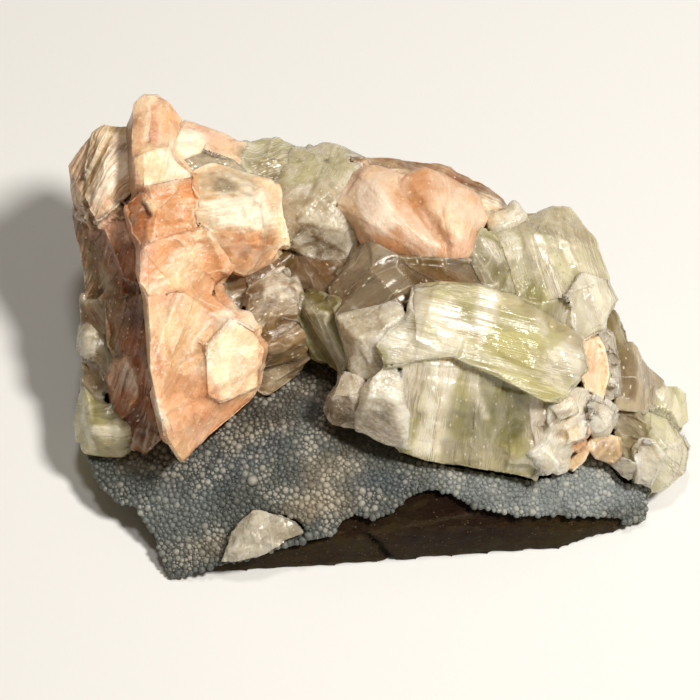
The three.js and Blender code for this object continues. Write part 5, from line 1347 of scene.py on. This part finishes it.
# Where balls sit: spots spread over the free part of the crust, each with its outward direction and radius in mm.
def crustSpots(setup, sizes, taken):
    pick = random.Random(setup["seed"] + len(taken))
    crust, covers = faceTree(["chalcedony_crust"]), faceTree(crystals)
    out = Vector(slopeOut)
    cubes, spots = {}, []  # the spots of both sizes by cubes of 2 mm

    def cubeOf(at):
        return tuple(math.floor(c / mm / 2) for c in at)

    for spot in taken:
        cubes.setdefault(cubeOf(spot[0]), []).append(spot)
    for i in range(setup["tries"]):
        start = onSlope(pick.uniform(setup["left"], setup["right"]), pick.uniform(setup["front"], setup["back"]),
                        setup["above"])
        at, normal, index, far = crust.ray_cast(start, -out)
        if at is None or normal.dot(out) < 0.15:
            continue
        size = pick.uniform(*sizes)
        x, y, z = cubeOf(at)
        near = [spot for a in (-1, 0, 1) for b in (-1, 0, 1) for c in (-1, 0, 1)
                for spot in cubes.get((x + a, y + b, z + c), ())]
        if any((at - spot[0]).length < (size + spot[2]) * mm * setup["crowding"] for spot in near):
            continue
        hit = covers.ray_cast(at + out * 0.2 * mm, out)
        if hit[0] is not None and hit[1].dot(out) > 0 and hit[3] > setup["thin"] * mm:  # inside a crystal
            continue
        spots.append((at, normal, size))
        cubes.setdefault((x, y, z), []).append(spots[-1])
    return spots


ballSetup = {"floor": -0.3, "sunk": 0.6, "wide": (0.88, 1.1), "tall": (0.75, 0.95), "zoneSize": 6.0, "zone": 0.8}


def ballShape(detail, floor):  # a ball of radius 1 with its lowest part cut off
    shape = bmesh.new()
    bmesh.ops.create_icosphere(shape, subdivisions=detail, radius=1)
    cut = bmesh.ops.bisect_plane(shape, geom=shape.verts[:] + shape.edges[:] + shape.faces[:],
                                 plane_co=(0, 0, floor), plane_no=(0, 0, -1), clear_outer=True)
    rim = [item for item in cut["geom_cut"] if isinstance(item, bmesh.types.BMEdge)]
    bmesh.ops.holes_fill(shape, edges=rim, sides=0)
    bmesh.ops.triangulate(shape, faces=shape.faces)
    points = np.array([v.co for v in shape.verts])
    faces = np.array([[v.index for v in f.verts] for f in shape.faces])
    shape.free()
    return points, faces


def crustBalls(name, spots, detail, setup, balls, finish):
    floor, wide, tall = balls["floor"], balls["wide"], balls["tall"]
    unit, faces = ballShape(detail, floor)
    pick = random.Random(len(spots))
    points, tips, tones = [], [], []
    places = toSlope(np.array([spot[0] for spot in spots]))
    zones = softNoise(places, balls["zoneSize"], 3) * balls["zone"]
    for (at, normal, size), zone in zip(spots, zones):
        turn = normal.to_track_quat("Z", "Y").to_matrix() @ Matrix.Rotation(pick.uniform(0, 6.28), 3, "Z")
        stretch = np.array([pick.uniform(*span) for span in (wide, wide, tall)]) * size * mm
        centre = np.array(at) - np.array(normal) * size * mm * balls["sunk"]
        points.append((unit * stretch) @ np.array(turn).T + centre)
        tips.append((unit[:, 2] - floor) / (1 - floor))
        tones.append(np.full(len(unit), 1 if size > 1.2 else min(1, max(0, 0.45 + zone + pick.gauss(0, 0.12)))))
    points = np.concatenate(points)
    corners = (faces[None] + np.arange(len(spots))[:, None, None] * len(unit)).reshape(-1, 3)
    mesh = bpy.data.meshes.new(name)
    mesh.from_pydata([], [], [])
    mesh.vertices.add(len(points))
    mesh.loops.add(len(corners) * 3)
    mesh.polygons.add(len(corners))
    mesh.loops.foreach_set("vertex_index", corners.astype(np.int32).ravel())
    mesh.polygons.foreach_set("loop_start", np.arange(0, len(corners) * 3, 3, dtype=np.int32))
    mesh.polygons.foreach_set("use_smooth", np.ones(len(corners), bool))
    points = movePoints(mesh, points)
    mesh.validate()
    keep(mesh, "tip", np.concatenate(tips))
    keep(mesh, "tone", np.concatenate(tones))
    keep(mesh, "bodyColour", crustColour(toSlope(points), setup))
    dress(newPiece(name, mesh), finish, "chalcedony")
    print(name, len(spots), "balls", len(corners), "triangles")


chalcedony = crustFinish()
crustSheet(crustSetup, chalcedony)
start = onSlope(*crustSetup["lone"], crustSetup["above"])
at, outward = faceTree(["chalcedony_crust"]).ray_cast(start, -Vector(slopeOut))[:2]
lone = (at + outward * 0.5 * mm, outward, crustSetup["loneSize"])  # the one big ball at the front
largeSpots = [lone] + crustSpots(crustSetup, crustSetup["large"], [lone])
smallSpots = crustSpots(crustSetup, crustSetup["small"], largeSpots)
crustBalls("chalcedony_balls", largeSpots, 2, crustSetup, ballSetup, chalcedony)
crustBalls("chalcedony_grains", smallSpots, 1, crustSetup, ballSetup, chalcedony)

floorSetup = {"width": 3.0, "colour": (0.8, 0.8, 0.79, 1), "roughness": 0.9}


def layFloor(setup):
    shape = bmesh.new()
    bmesh.ops.create_grid(shape, x_segments=1, y_segments=1, size=setup["width"] / 2)
    mesh = bpy.data.meshes.new("floor")
    shape.to_mesh(mesh)
    shape.free()
    material = bpy.data.materials.new("floor")
    material.use_nodes = True
    shader = material.node_tree.nodes["Principled BSDF"]
    plug(material.node_tree, shader, {"Base Color": setup["colour"], "Roughness": setup["roughness"]})
    mesh.materials.append(material)
    newPiece("floor", mesh)


cameraSetup = {"aim": (-5.1, 43.1, 0.0), "distance": 700, "field": 133, "sensor": 36}


def placeCamera(setup):
    data = bpy.data.cameras.new("camera")
    data.sensor_width = setup["sensor"]
    data.lens = setup["sensor"] * setup["distance"] / setup["field"]
    data.clip_start = 10 * mm
    camera = newPiece("camera", data)
    camera.rotation_euler = Matrix((slopeX, slopeUp, slopeOut)).transposed().to_euler()
    x, s, d = setup["aim"]
    camera.location = onSlope(x, s, d + setup["distance"])
    bpy.context.scene.camera = camera


lightSetup = {
    "target": (0, 42, 0),
    "key": {"from": (0.44, 0.32, 0.84), "distance": 0.9, "size": 0.15, "power": 8.6, "color": (1.0, 0.96, 0.9)},
    "fill": {"from": (-0.6, -0.2, 0.75), "distance": 1.1, "size": 0.9, "power": 0.2, "color": (1.0, 0.88, 0.7)},
    "glow": {"from": (-0.02, 0.6, 0.8), "distance": 1.0, "size": 0.14, "power": 2.2, "color": (1.0, 0.97, 0.92)},
    "world": {"Color": (1.0, 0.84, 0.6, 1), "Strength": 0.1},
}


def placeLights(setup):
    target = onSlope(*setup["target"])
    for name in ("key", "fill", "glow"):
        light = setup[name]
        data = bpy.data.lights.new(name, "AREA")
        data.shape = "DISK"
        data.size = light["size"]
        data.energy = light["power"]
        data.color = light["color"]
        lamp = newPiece(name, data)
        direction = Vector(np.array(light["from"]) @ slopeAxes).normalized()
        lamp.location = target + direction * light["distance"]
        lamp.rotation_euler = direction.to_track_quat("Z", "Y").to_euler()
    world = bpy.data.worlds.new("studio")
    world.use_nodes = True
    plug(world.node_tree, world.node_tree.nodes["Background"], setup["world"])
    bpy.context.scene.world = world
    bpy.context.scene.view_settings.view_transform = "Standard"


layFloor(floorSetup)
placeCamera(cameraSetup)
placeLights(lightSetup)
print("floor, camera and lights placed")
